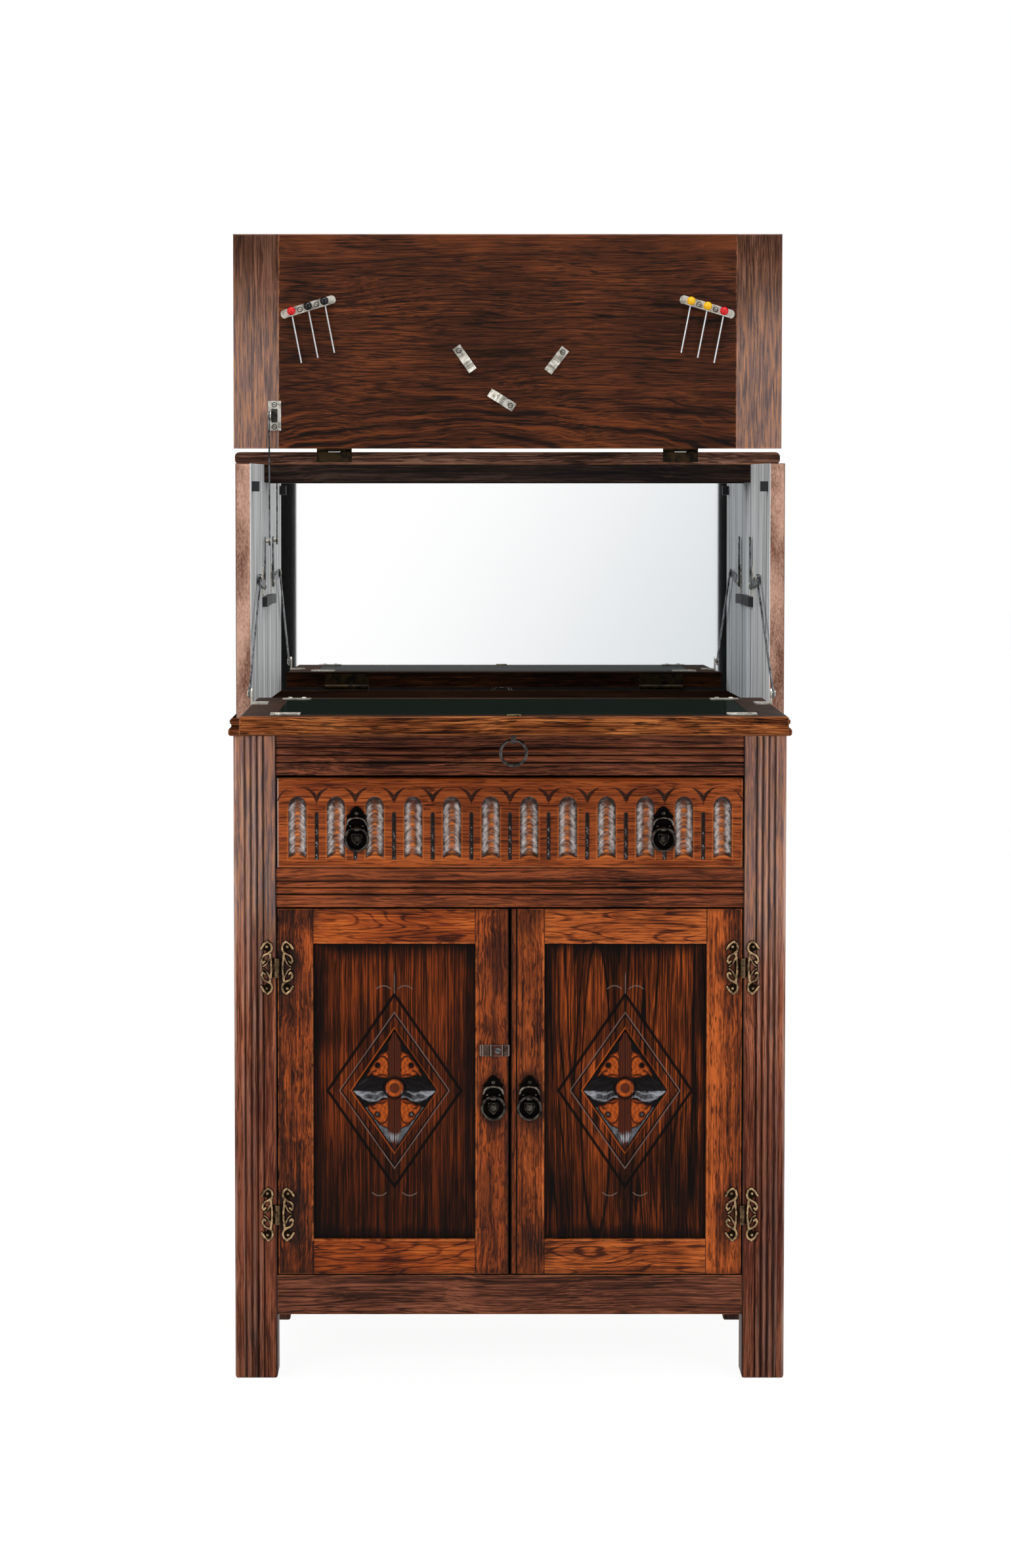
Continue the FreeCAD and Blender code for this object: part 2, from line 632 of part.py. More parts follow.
def make_lid():
    """Two planks between end cleats, drawn closed and turned up."""
    inner = LID_HALF - LID_CLEAT_WIDTH
    front, seam = -LID_FRONT_OVERHANG, LID_FRONT_PLANK - LID_FRONT_OVERHANG
    recesses = [lid_leaf_recess(1), lid_leaf_recess(-1)]
    front_plank = box(-inner, inner, front, seam, LID_UNDER, RAIL_TOP)
    front_plank = rounded(front_plank, LID_EDGE_ROUND, lambda c, e: near(c.y, front) and abs(c.x) < 1)
    rear_plank = box(-inner, inner, seam, LID_REAR_EDGE, LID_UNDER, RAIL_TOP).cut(recesses)
    add("lid_planks", [lid_opened(front_plank), lid_opened(rear_plank)])
    cleat = box(inner, LID_HALF, front, LID_REAR_EDGE, LID_UNDER, RAIL_TOP)
    middle = (LID_UNDER + RAIL_TOP) / 2
    cleat = rounded(cleat, LID_EDGE_ROUND,
                    lambda c, e: (near(c.y, front) or near(c.x, LID_HALF)) and not near(c.z, middle))
    add("lid_cleats", pair(lid_opened(cleat)))


# ---- Flap

def make_flap():
    board = box(-FLAP_HALF, FLAP_HALF, FLAP_NEAR, FLAP_REAR_EDGE, FLAP_AXIS[1], FLAP_TOP)
    board = rounded(board, FLAP_EDGE_ROUND,
                    lambda c, e: near(c.y, FLAP_NEAR) or (near(abs(c.x), FLAP_HALF) and near(c.z, FLAP_TOP)))
    middle = (FLAP_NEAR + FLAP_REAR_EDGE) / 2
    half_w, half_d = FLAP_HALF - GLASS_SIDE_MARGIN, (FLAP_REAR_EDGE - FLAP_NEAR) / 2 - GLASS_END_MARGIN
    floor = FLAP_TOP + GLASS_PROUD - GLASS_THICKNESS
    pocket = box(-half_w - POCKET_GAP, half_w + POCKET_GAP, middle - half_d - POCKET_GAP,
                 middle + half_d + POCKET_GAP, floor, FLAP_TOP + 1)
    add("flap_board", board.cut(pocket))
    add("flap_glass", box(-half_w, half_w, middle - half_d, middle + half_d, floor, floor + GLASS_THICKNESS))
    glass_top = floor + GLASS_THICKNESS
    clips = []
    for out in (-1, 1):
        clips += pair(glass_clip(half_w, middle + out * half_d, out, glass_top))
    add("glass_clips", clips)
    half, front = STRIKE_WIDTH / 2, FLAP_NEAR + STRIKE_SETBACK
    strike = box(-half, half, front, front + STRIKE_DEPTH, FLAP_TOP, FLAP_TOP + STRIKE_SHEET)
    y = front + KEYHOLE_SETBACK
    keyhole = rod((0, y, FLAP_TOP), (0, y, FLAP_TOP + 2 * STRIKE_SHEET), KEYHOLE_RADIUS)
    add("flap_strike", strike.cut(keyhole))


def glass_clip(corner_x, edge_y, out, glass_top):
    """Corner clip: a foot screwed to the board and a raised tongue that laps the glass."""
    x1 = corner_x + GLASS_CLIP_OVERRUN
    x0 = x1 - GLASS_CLIP_LENGTH
    lap_y, foot_y = edge_y - out * GLASS_CLIP_LAP, edge_y + out * (GLASS_CLIP_WIDTH - GLASS_CLIP_LAP)
    riser = edge_y + out * (POCKET_GAP + GLASS_CLIP_SHEET)
    over = glass_top + GLASS_CLIP_PLAY
    low, high = sorted((lap_y, riser))
    tongue = box(x0, x1, low, high, over, over + GLASS_CLIP_SHEET)
    low, high = sorted((edge_y + out * POCKET_GAP, riser))
    wall = box(x0, x1, low, high, FLAP_TOP, over + GLASS_CLIP_SHEET)
    low, high = sorted((edge_y + out * POCKET_GAP, foot_y))
    foot = box(x0, x1, low, high, FLAP_TOP, FLAP_TOP + GLASS_CLIP_SHEET)
    screws = []
    y = (riser + foot_y) / 2
    for quarter in (1, 3):
        x = x0 + quarter * GLASS_CLIP_LENGTH / 4
        screws.append(rod((x, y, FLAP_TOP), (x, y, FLAP_TOP + 2 * GLASS_CLIP_SHEET), SCREW_HEAD_RADIUS))
    return fused([tongue, wall, foot] + screws)


# ---- Linkage

def link(start, end, width, x0, x1, eye=EYE_RADIUS):
    """Flat bar with round eyes between two side-view points."""
    along = V(0, end[0] - start[0], end[1] - start[1])
    side = V(0, -along.z, along.y)
    side.normalize()
    side.multiply(width / 2)
    a, b = V(x0, *start), V(x0, *end)
    bar = prism([a + side, b + side, b - side, a - side], (x1 - x0, 0, 0))
    return fused([bar, bar_x(x0, x1, start, eye), bar_x(x0, x1, end, eye)])


LEVER_OUT = WALL - LINK_SHEET - LINK_GAP
LEVER_IN = LEVER_OUT - LINK_SHEET
FLAP_ROD_OUT = LEVER_IN - LINK_GAP
FLAP_ROD_IN = FLAP_ROD_OUT - LINK_SHEET
LID_ROD_OUT = FLAP_ROD_IN - RIVET_HEAD_HEIGHT - 3 * LINK_GAP
LID_ROD_IN = LID_ROD_OUT - LINK_SHEET
FLAP_FLANGE_OUT = FLAP_HALF - LINK_GAP / 2
FLAP_FLANGE_IN = FLAP_FLANGE_OUT - BRACKET_SHEET
LID_FLANGE_OUT = LID_ROD_IN - LINK_GAP
LID_FLANGE_IN = LID_FLANGE_OUT - BRACKET_SHEET


def make_linkage():
    bore = PIVOT_RADIUS + RUNNING_GAP
    y, half = WALL_PIVOT[0], WALL_PLATE_WIDTH / 2
    plate_foot = WAIST_TOP + BEARER_RISE + BEARER_HEIGHT + WALL_PLATE_GAP
    plate = box(WALL - LINK_SHEET, WALL, y - half, y + half, plate_foot, plate_foot + WALL_PLATE_LENGTH)
    stud = bar_x(LEVER_IN - LINK_GAP, WALL - LINK_SHEET, WALL_PIVOT, PIVOT_RADIUS)
    head = bar_x(LEVER_IN - LINK_GAP - RIVET_HEAD_HEIGHT, LEVER_IN - LINK_GAP, WALL_PIVOT, RIVET_HEAD_RADIUS)
    add("lever_pivot_plates", pair(fused([plate, stud, head])))

    ends = (LEVER_LID_END, LEVER_FLAP_END)
    arms = [link(WALL_PIVOT, end, LEVER_WIDTH, LEVER_IN, LEVER_OUT) for end in ends]
    lever = fused(arms).cut(bar_x(LEVER_IN - 1, LEVER_OUT + 1, WALL_PIVOT, bore))
    add("levers", pair(lever))

    flap_rod = link(FLAP_PIVOT, LEVER_FLAP_END, FLAP_ROD_WIDTH, FLAP_ROD_IN, FLAP_ROD_OUT)
    rivet = bar_x(FLAP_ROD_IN - RIVET_HEAD_HEIGHT, FLAP_ROD_IN, LEVER_FLAP_END, RIVET_HEAD_RADIUS)
    flap_rod = fused([flap_rod, rivet]).cut(bar_x(FLAP_ROD_IN - 1, FLAP_ROD_OUT + 1, FLAP_PIVOT, bore))
    add("flap_rods", pair(flap_rod))

    lid_rod = link(LID_PIVOT, LEVER_LID_END, LID_ROD_WIDTH, LID_ROD_IN, LID_ROD_OUT)
    spacer = bar_x(LID_ROD_IN - RIVET_HEAD_HEIGHT, FLAP_ROD_OUT, LEVER_LID_END, PIVOT_RADIUS)
    lid_rod = fused([lid_rod, spacer]).cut(bar_x(LID_ROD_IN - 1, LID_ROD_OUT + 1, LID_PIVOT, bore))
    add("lid_rod", flipped(lid_rod))


def make_link_brackets():
    y, z = FLAP_PIVOT
    half = FLAP_BRACKET_LENGTH / 2
    base = box(FLAP_HALF - FLAP_BRACKET_WIDTH, FLAP_FLANGE_OUT, y - half, y + half,
               FLAP_TOP, FLAP_TOP + BRACKET_SHEET)
    flange = box(FLAP_FLANGE_IN, FLAP_FLANGE_OUT, y - half / 2, y + half / 2, FLAP_TOP, z)
    ear = bar_x(FLAP_FLANGE_IN, FLAP_FLANGE_OUT, FLAP_PIVOT, half / 2)
    pin_end = FLAP_ROD_OUT + LINK_GAP
    pin = bar_x(FLAP_FLANGE_IN, pin_end, FLAP_PIVOT, PIVOT_RADIUS)
    head = bar_x(pin_end, pin_end + RIVET_HEAD_HEIGHT, FLAP_PIVOT, RIVET_HEAD_RADIUS)
    add("flap_rod_brackets", pair(fused([base, flange, ear, pin, head])))

    y, z = LID_PIVOT
    half = LID_BRACKET_LENGTH / 2
    x_out = LID_ROD_OUT + LINK_GAP + RIVET_HEAD_HEIGHT
    base = box(x_out - LID_BRACKET_WIDTH, x_out, LID_FACE - BRACKET_SHEET, LID_FACE, z - half, z + half)
    flange = box(LID_FLANGE_IN, LID_FLANGE_OUT, y, LID_FACE, z - EYE_RADIUS, z + EYE_RADIUS)
    ear = bar_x(LID_FLANGE_IN, LID_FLANGE_OUT, LID_PIVOT, EYE_RADIUS)
    pin = bar_x(LID_FLANGE_IN, LID_ROD_OUT + LINK_GAP, LID_PIVOT, PIVOT_RADIUS)
    head = bar_x(LID_ROD_OUT + LINK_GAP, x_out, LID_PIVOT, RIVET_HEAD_RADIUS)
    add("lid_rod_bracket", flipped(fused([base, flange, ear, pin, head])))


# ---- Picks, racks and spring clips on the lid's underside

def rack_point(side, along, up):
    """Point of a rack in X and Z: along it from its middle, and up from its middle line."""
    tilt = math.radians(RACK_TILT)
    x = RACK_INSET - LID_HALF + along * math.cos(tilt) - up * math.sin(tilt)
    z = LID_AXIS[1] + RACK_RISE + along * math.sin(tilt) + up * math.cos(tilt)
    return side * -x, z


def make_racks():
    half = RACK_LENGTH / 2
    plate = box(-half, half, LID_FACE - RACK_SHEET, LID_FACE, -RACK_WIDTH / 2, RACK_WIDTH / 2)
    plate = rounded(plate, RACK_WIDTH * 0.45,
                    lambda c, e: near(abs(c.x), half) and near(c.y, LID_FACE - RACK_SHEET / 2))
    ledge_top = -RACK_WIDTH / 2 + RACK_SHEET
    ledge = box(RACK_END - half, half - RACK_END, LID_FACE - RACK_LEDGE, LID_FACE, -RACK_WIDTH / 2, ledge_top)
    y = LID_FACE - RACK_LEDGE / 2 - RACK_SHEET / 2
    for i in (-1, 0, 1):
        ledge = ledge.cut(rod((i * PICK_SPACING, y, -RACK_WIDTH), (i * PICK_SPACING, y, 0), RACK_HOLE_RADIUS))
    screws = []
    for along in (-PICK_SPACING / 2, PICK_SPACING / 2):
        screws.append(rod((along, LID_FACE - 2 * RACK_SHEET, 0), (along, LID_FACE, 0), SCREW_HEAD_RADIUS))
    rack = fused([plate, ledge] + screws)
    rack.rotate(V(0, 0, 0), V(0, 1, 0), -RACK_TILT)
    rack.translate(V(RACK_INSET - LID_HALF, 0, LID_AXIS[1] + RACK_RISE))
    add("pick_racks", pair(rack))


def pick_axis(side):
    """Direction of a pick's pin, pointing down and inwards."""
    lean = math.radians(PICK_LEAN)
    return V(side * -math.sin(lean), 0, -math.cos(lean))


def pick():
    """Bead about the origin on a pin that points down, turned as one profile."""
    tip = -PIN_LENGTH - BEAD_RADIUS
    neck = -math.sqrt(BEAD_RADIUS ** 2 - PIN_RADIUS ** 2)
    profile = face_of((0, 0, tip), [
        ((PIN_RADIUS, 0, tip),), ((PIN_RADIUS, 0, neck),), ((BEAD_RADIUS, 0, 0), (0, 0, BEAD_RADIUS)),
    ])
    return profile.revolve(V(0, 0, 0), V(0, 0, 1), 360)


def make_picks():
    y = LID_FACE - RACK_LEDGE / 2 - RACK_SHEET / 2
    lift = RACK_SHEET - RACK_WIDTH / 2 + BEAD_RADIUS
    number = 0
    for side in (-1, 1):
        for step in (-1, 0, 1):
            number += 1
            x, z = rack_point(side, -side * step * PICK_SPACING, lift)
            leaning = turned(pick(), (0, 0, 0), (0, 1, 0), side * PICK_LEAN)
            add("pick_%d" % number, moved(leaning, x, y, z))


def spring_clip():
    """Bent strip along +X from its screw end, standing off the lid face towards -Y."""
    face, sheet, radius = LID_FACE, CLIP_SHEET, CLIP_ARCH_RADIUS
    half = CLIP_WIDTH / 2
    middle = CLIP_LENGTH / 2
    foot = box(-half, middle - radius + sheet, face - sheet, face, -half, half)
    arch = Part.makeCylinder(radius, CLIP_WIDTH, V(middle, face, -half), V(0, 0, 1))
    arch = arch.cut(Part.makeCylinder(radius - sheet, CLIP_WIDTH, V(middle, face, -half), V(0, 0, 1)))
    arch = arch.common(box(middle - radius, middle + radius, face - radius, face, -half, half))
    tail_start = middle + radius - sheet
    tail = box(tail_start, CLIP_LENGTH - half, face - sheet, face, -half, half)
    tail = turned(tail, (tail_start, face, 0), (0, 0, 1), -CLIP_TAIL_ANGLE)
    screw = rod((0, face - 2 * sheet, 0), (0, face, 0), SCREW_HEAD_RADIUS)
    return fused([foot, arch, tail, screw])


def make_spring_clips():
    clips = []
    for x, rise, angle in CLIP_PLACES:
        clip = turned(spring_clip(), (0, 0, 0), (0, 1, 0), -angle)
        clip.translate(V(x, 0, LID_AXIS[1] + rise))
        clips.append(clip)
    add("spring_clips", clips)


# ---- Doors

DOOR_WIDTH = (2 * OPENING_HALF - 2 * DOOR_GAP - DOOR_MEETING_GAP) / 2
DOOR_OUTER = OPENING_HALF - DOOR_GAP
DOOR_INNER = DOOR_OUTER - DOOR_WIDTH
DOOR_HINGE_AXIS = (OPENING_HALF - DOOR_GAP / 2, -DOOR_HINGE_RADIUS - LINK_GAP)
PANEL_LEFT = DOOR_INNER + MEETING_STILE
PANEL_RIGHT = DOOR_OUTER - HINGE_STILE
PANEL_BOTTOM = DOOR_BOTTOM + DOOR_RAIL
PANEL_TOP = DOOR_TOP - DOOR_RAIL
PANEL_X = (PANEL_LEFT + PANEL_RIGHT) / 2
PANEL_Z = (PANEL_BOTTOM + PANEL_TOP) / 2 + LOZENGE_RISE
DOOR_HINGE_LEVELS = (DOOR_BOTTOM + DOOR_HINGE_BOTTOM_INSET, DOOR_TOP - DOOR_HINGE_TOP_INSET)
DOOR_PULL_PLACES = (-DOOR_INNER - DOOR_LEFT_PULL_INSET, DOOR_INNER + DOOR_RIGHT_PULL_INSET)
DOOR_PULL_HEIGHT = DOOR_BOTTOM + DOOR_PULL_RISE
LATCH_PIVOT_X = -DOOR_INNER - LATCH_INSET
LATCH_PIVOT_Z = DOOR_BOTTOM + LATCH_RISE


def lozenge(half_w, half_h, y0, y1):
    corners = [(PANEL_X - half_w, y0, PANEL_Z), (PANEL_X, y0, PANEL_Z - half_h),
               (PANEL_X + half_w, y0, PANEL_Z), (PANEL_X, y0, PANEL_Z + half_h)]
    return prism(corners, (0, y1 - y0, 0))


def carved_leaf(length, turn):
    """Pointed leaf from the boss towards one corner of the lozenge."""
    y = PANEL_SETBACK + LOZENGE_DEPTH
    half = LEAF_HALF_WIDTH
    base, tip, belly = (0, y, LEAF_START), (0, y, length), (LEAF_START + length) / 2
    face = face_of(base, [((half, y, belly), tip), ((-half, y, belly), base)])
    leaf = face.extrude(V(0, -LEAF_HEIGHT, 0))
    leaf.rotate(V(0, 0, 0), V(0, 1, 0), turn)
    leaf.translate(V(PANEL_X, 0, PANEL_Z))
    return leaf


def door_panel():
    """Panel with two incised lozenges round a sunk one that holds four leaves and a boss."""
    face, tongue = PANEL_SETBACK, PANEL_TONGUE - PANEL_PLAY
    panel = box(PANEL_LEFT - tongue, PANEL_RIGHT + tongue, face, face + PANEL_THICKNESS,
                PANEL_BOTTOM - tongue, PANEL_TOP + tongue)
    for half_w, half_h, width, depth in LOZENGE_GROOVES:
        outer = lozenge(half_w, half_h, face - 1, face + depth)
        inner = lozenge(half_w - width, half_h - width * half_h / half_w, face - 2, face + depth + 1)
        panel = panel.cut(outer.cut(inner))
    panel = panel.cut(lozenge(LOZENGE_HALF_WIDTH, LOZENGE_HALF_HEIGHT, face - 1, face + LOZENGE_DEPTH))
    reach_up, reach_side = LOZENGE_HALF_HEIGHT - LEAF_END_MARGIN, LOZENGE_HALF_WIDTH - LEAF_END_MARGIN
    leaves = [carved_leaf(reach_up, 0), carved_leaf(reach_side, 90), carved_leaf(reach_up, 180),
              carved_leaf(reach_side, 270)]
    top = face + BOSS_SETBACK
    boss = rod((PANEL_X, face + LOZENGE_DEPTH, PANEL_Z), (PANEL_X, top, PANEL_Z), BOSS_RADIUS)
    boss = rounded(boss, BOSS_ROUND, lambda c, e: near(c.y, top))
    return fused([panel] + leaves + [boss])


def door_frame(beaded):
    """Two stiles and two rails grooved for the panel; a beaded door has a bead down its meeting edge."""
    y0, y1 = 0, DOOR_THICKNESS
    groove = box(PANEL_LEFT - PANEL_TONGUE, PANEL_RIGHT + PANEL_TONGUE, PANEL_SETBACK,
                 PANEL_SETBACK + PANEL_THICKNESS, PANEL_BOTTOM - PANEL_TONGUE, PANEL_TOP + PANEL_TONGUE)
    hinge_stile = box(PANEL_RIGHT, DOOR_OUTER, y0, y1, DOOR_BOTTOM, DOOR_TOP)
    hinge_stile = rounded(hinge_stile, DOOR_EDGE_ROUND,
                          lambda c, e: near(c.y, 0) and not near(c.x, PANEL_RIGHT))
    meeting = box(DOOR_INNER, PANEL_LEFT, y0, y1, DOOR_BOTTOM, DOOR_TOP)
    meeting = rounded(meeting, DOOR_EDGE_ROUND, lambda c, e: near(c.y, 0) and not near(c.x, PANEL_LEFT))
    if beaded:
        quirk = DOOR_INNER + MEETING_BEAD
        groove_beside_bead = box(quirk, quirk + MEETING_QUIRK, -1, MEETING_QUIRK_DEPTH, DOOR_BOTTOM, DOOR_TOP)
        meeting = meeting.cut(groove_beside_bead)
    rails = []
    for low, high, edge in ((DOOR_BOTTOM, PANEL_BOTTOM, DOOR_BOTTOM), (PANEL_TOP, DOOR_TOP, DOOR_TOP)):
        rail = box(PANEL_LEFT, PANEL_RIGHT, y0, y1, low, high)
        rails.append(rounded(rail, DOOR_EDGE_ROUND, lambda c, e, edge=edge: near(c.y, 0) and near(c.z, edge)))
    return [piece.cut(groove) for piece in [hinge_stile, meeting] + rails]


def make_doors():
    panel = door_panel()
    add("door_right_frame", door_frame(True))
    add("door_right_panel", panel)
    add("door_left_frame", [flipped(piece) for piece in door_frame(False)])
    add("door_left_panel", flipped(panel))


def scroll_leaf(out):
    """Scrolled outline of one leaf from the hinge axis towards out (+1 or -1), about z = 0."""
    x0 = DOOR_HINGE_AXIS[0]
    y0 = -DOOR_LEAF_SHEET
    low, high = sorted((x0 + out * DOOR_LEAF_NEAR, x0 + out * DOOR_LEAF_REACH))
    pieces = [box(low, high, y0, 0, -DOOR_HINGE_HEIGHT / 2, DOOR_HINGE_HEIGHT / 2)]
    for x, z, radius in DOOR_HINGE_DISCS:
        for up in (-1, 1):
            pieces.append(rod((x0 + out * x, y0, up * z), (x0 + out * x, 0, up * z), radius))
    return pieces


def door_hinge(moving):
    """Right-hand door hinge about z = 0: the post leaf holds the pin and two knuckles, the door leaf one."""
    x, y = DOOR_HINGE_AXIS
    third = DOOR_HINGE_HEIGHT / 3
    radius = DOOR_HINGE_RADIUS
    half = DOOR_HINGE_HEIGHT / 2
    pieces = scroll_leaf(-1 if moving else 1)
    if moving:
        barrel = rod((x, y, KNUCKLE_GAP - third / 2), (x, y, third / 2 - KNUCKLE_GAP), radius)
        leaf = fused(pieces)
        clear = rod((x, y, -half - 1), (x, y, KNUCKLE_GAP - third / 2), radius + KNUCKLE_GAP)
        leaf = leaf.cut([clear, turned(clear, (x, y, 0), (1, 0, 0), 180)])
        return fused([leaf, barrel]).cut(rod((x, y, -half), (x, y, half), radius / 2 + RUNNING_GAP))
    spans = ((-half, -third / 2), (third / 2, half))
    leaf = fused(pieces).cut(rod((x, y, -third / 2), (x, y, third / 2), radius + KNUCKLE_GAP))
    barrels = [rod((x, y, a), (x, y, b), radius) for a, b in spans]
    return fused([leaf, rod((x, y, -half), (x, y, half), radius / 2)] + barrels)


def make_door_hinges():
    post, door = [], []
    for level in DOOR_HINGE_LEVELS:
        for moving, group in ((False, post), (True, door)):
            leaf = door_hinge(moving)
            leaf.translate(V(0, 0, level))
            group.append(leaf)
    add("door_hinge_post_leaves", post + [flipped(leaf) for leaf in post])
    add("door_right_hinge_leaves", door)
    add("door_left_hinge_leaves", [flipped(leaf) for leaf in door])


# ---- Pulls

def ring_drop(radius):
    """How far a ring's centre hangs below its bar."""
    return math.sqrt(radius ** 2 - RING_BAR_HALF ** 2)


def ring(radius):
    """Drop ring hanging from a straight bar at the origin, in the XZ plane."""
    wire = 2 * RING_WIRE_RADIUS
    hoop = Part.makeTorus(radius, RING_WIRE_RADIUS, V(0, 0, -ring_drop(radius)), V(0, 1, 0))
    hoop = hoop.cut(box(-RING_BAR_HALF, RING_BAR_HALF, -wire, wire, -wire, radius))
    bar = bar_x(-RING_BAR_HALF, RING_BAR_HALF, (0, 0), RING_WIRE_RADIUS)
    ends = [Part.makeSphere(RING_WIRE_RADIUS, V(s * RING_BAR_HALF, 0, 0)) for s in (-1, 1)]
    return fused([hoop, bar] + ends)


def pull_plate():
    """Crowned back plate about the ring's centre, its back on y = 0."""
    drop = ring_drop(RING_RADIUS)
    disc = rod((0, 0, 0), (0, -PLATE_SHEET, 0), PULL_DISC_RADIUS)
    half, foot, top = PULL_CROWN_WIDTH / 2, PULL_DISC_RADIUS - 5, PULL_CROWN_HEIGHT
    horn, dip = top - 15, top - 9
    crown = face_of((4.5 - half, 0, foot), [
        ((-half, 0, (foot + horn) / 2), (1.5 - half, 0, horn)),
        ((-half / 2, 0, dip), (0, 0, top)),
        ((half / 2, 0, dip), (half - 1.5, 0, horn)),
        ((half, 0, (foot + horn) / 2), (half - 4.5, 0, foot)),
    ]).extrude(V(0, -PLATE_SHEET, 0))
    heart = Part.makeCone(HEART_RADIUS, HEART_RADIUS / 2, HEART_HEIGHT, V(0, -PLATE_SHEET, 0), V(0, -1, 0))
    lug = bar_x(-LUG_WIDTH / 2, LUG_WIDTH / 2, (-RING_STANDOFF, drop), LUG_RADIUS)
    web = box(-LUG_WIDTH / 2, LUG_WIDTH / 2, -RING_STANDOFF, -PLATE_SHEET / 2,
              drop - LUG_RADIUS, drop + LUG_RADIUS)
    bore = bar_x(-LUG_WIDTH, LUG_WIDTH, (-RING_STANDOFF, drop), RING_WIRE_RADIUS + RUNNING_GAP)
    return fused([disc, crown, heart, lug, web]).cut(bore)


def make_pulls():
    drop = ring_drop(RING_RADIUS)
    plate, hoop = pull_plate(), ring(RING_RADIUS)
    for name, x in zip(("left", "right"), DOOR_PULL_PLACES):
        add("door_%s_pull_plate" % name, moved(plate, x, 0, DOOR_PULL_HEIGHT))
        add("door_%s_ring" % name, moved(hoop, x, -RING_STANDOFF, DOOR_PULL_HEIGHT + drop))
    z = DRAWER_BOTTOM + DRAWER_PULL_RISE
    places = (-DRAWER_PULL_OFFSET, DRAWER_PULL_OFFSET)
    add("drawer_pull_plates", [moved(plate, x, 0, z) for x in places])
    for name, x in zip(("left", "right"), places):
        add("drawer_%s_ring" % name, moved(hoop, x, -RING_STANDOFF, z + drop))


def make_flap_pull():
    y, under = FLAP_NEAR + FLAP_RING_SETBACK, FLAP_AXIS[1]
    z = under - FLAP_RING_STANDOFF
    half, reach = FLAP_PLATE_WIDTH / 2, FLAP_PLATE_DEPTH / 2
    plate = box(-half, half, y - reach, y + reach, under - FLAP_PLATE_SHEET, under)
    plate = rounded(plate, reach * 0.8,
                    lambda c, e: near(abs(c.x), half) and near(c.z, under - FLAP_PLATE_SHEET / 2))
    lug = bar_x(-LUG_WIDTH / 2, LUG_WIDTH / 2, (y, z), LUG_RADIUS)
    web = box(-LUG_WIDTH / 2, LUG_WIDTH / 2, y - LUG_RADIUS, y + LUG_RADIUS, z, under)
    bore = bar_x(-LUG_WIDTH, LUG_WIDTH, (y, z), RING_WIRE_RADIUS + RUNNING_GAP)
    add("flap_pull_plate", fused([plate, lug, web]).cut(bore))
    add("flap_ring", moved(ring(FLAP_RING_RADIUS), 0, y, z))


# ---- Turn latch

def make_latch():
    x, z = LATCH_PIVOT_X, LATCH_PIVOT_Z
    half = LATCH_WIDTH / 2
    outer, inner = -LATCH_LIFT - LATCH_SHEET, -LATCH_LIFT
    hump_top = outer - LATCH_HUMP_HEIGHT
    blade = box(x - LATCH_LEFT, x + LATCH_RIGHT, outer, inner, z - half, z + half)
    blade = rounded(blade, LATCH_EDGE_ROUND, lambda c, e: near(c.y, (outer + inner) / 2))
    hump = box(x - LATCH_HUMP_HALF, x + LATCH_HUMP_HALF, hump_top, inner, z - half, z + half)
    bore = rod((x, 0, z), (x, hump_top - 1, z), LATCH_SCREW_RADIUS + RUNNING_GAP)
    add("turn_latch", fused([blade, hump]).cut(bore))
    shank_end = hump_top - LINK_GAP
    washer = rod((x, 0, z), (x, LINK_GAP - LATCH_LIFT, z), LATCH_WASHER_RADIUS)
    shank = rod((x, 0, z), (x, shank_end, z), LATCH_SCREW_RADIUS)
    head = rod((x, shank_end, z), (x, shank_end - LATCH_HEAD_HEIGHT, z), LATCH_HEAD_RADIUS)
    add("latch_screw", fused([washer, shank, head]))


# ---- Drawer

def make_drawer_front():
    """Front carved with round-topped flutes and a reed between each two."""
    half = OPENING_HALF - DRAWER_SIDE_GAP
    front = box(-half, half, 0, DRAWER_FRONT_THICKNESS, DRAWER_BOTTOM, DRAWER_TOP)
    front = rounded(front, DRAWER_EDGE_ROUND, lambda c, e: near(c.y, 0))
    pitch = 2 * (half - FLUTE_MARGIN) / FLUTE_COUNT
    half_flute = FLUTE_WIDTH / 2
    radius = (half_flute ** 2 + FLUTE_DEPTH ** 2) / (2 * FLUTE_DEPTH)
    base, top = DRAWER_BOTTOM + FLUTE_BASE, DRAWER_TOP - FLUTE_TOP_MARGIN
    spring = top - half_flute
    low, high = DRAWER_BOTTOM + REED_BASE, DRAWER_TOP - REED_TOP_MARGIN
    cutters, reeds = [], []
    for i in range(FLUTE_COUNT):
        x = (i - (FLUTE_COUNT - 1) / 2) * pitch
        outline = face_of((x - half_flute, -1, base), [
            ((x + half_flute, -1, base),), ((x + half_flute, -1, spring),),
            ((x, -1, top), (x - half_flute, -1, spring)),
        ])
        hollow = rod((x, FLUTE_DEPTH - radius, base), (x, FLUTE_DEPTH - radius, top + 1), radius)
        cutters.append(hollow.common(outline.extrude(V(0, FLUTE_DEPTH + 2, 0))))
        if i:
            between = x - pitch / 2
            cutters.append(box(between - REED_WIDTH / 2, between + REED_WIDTH / 2, -1, REED_DEPTH, low, high))
            reeds.append(rod((between, REED_DEPTH, low), (between, REED_DEPTH, high), REED_DEPTH))
    return fused([front.cut(cutters)] + reeds)


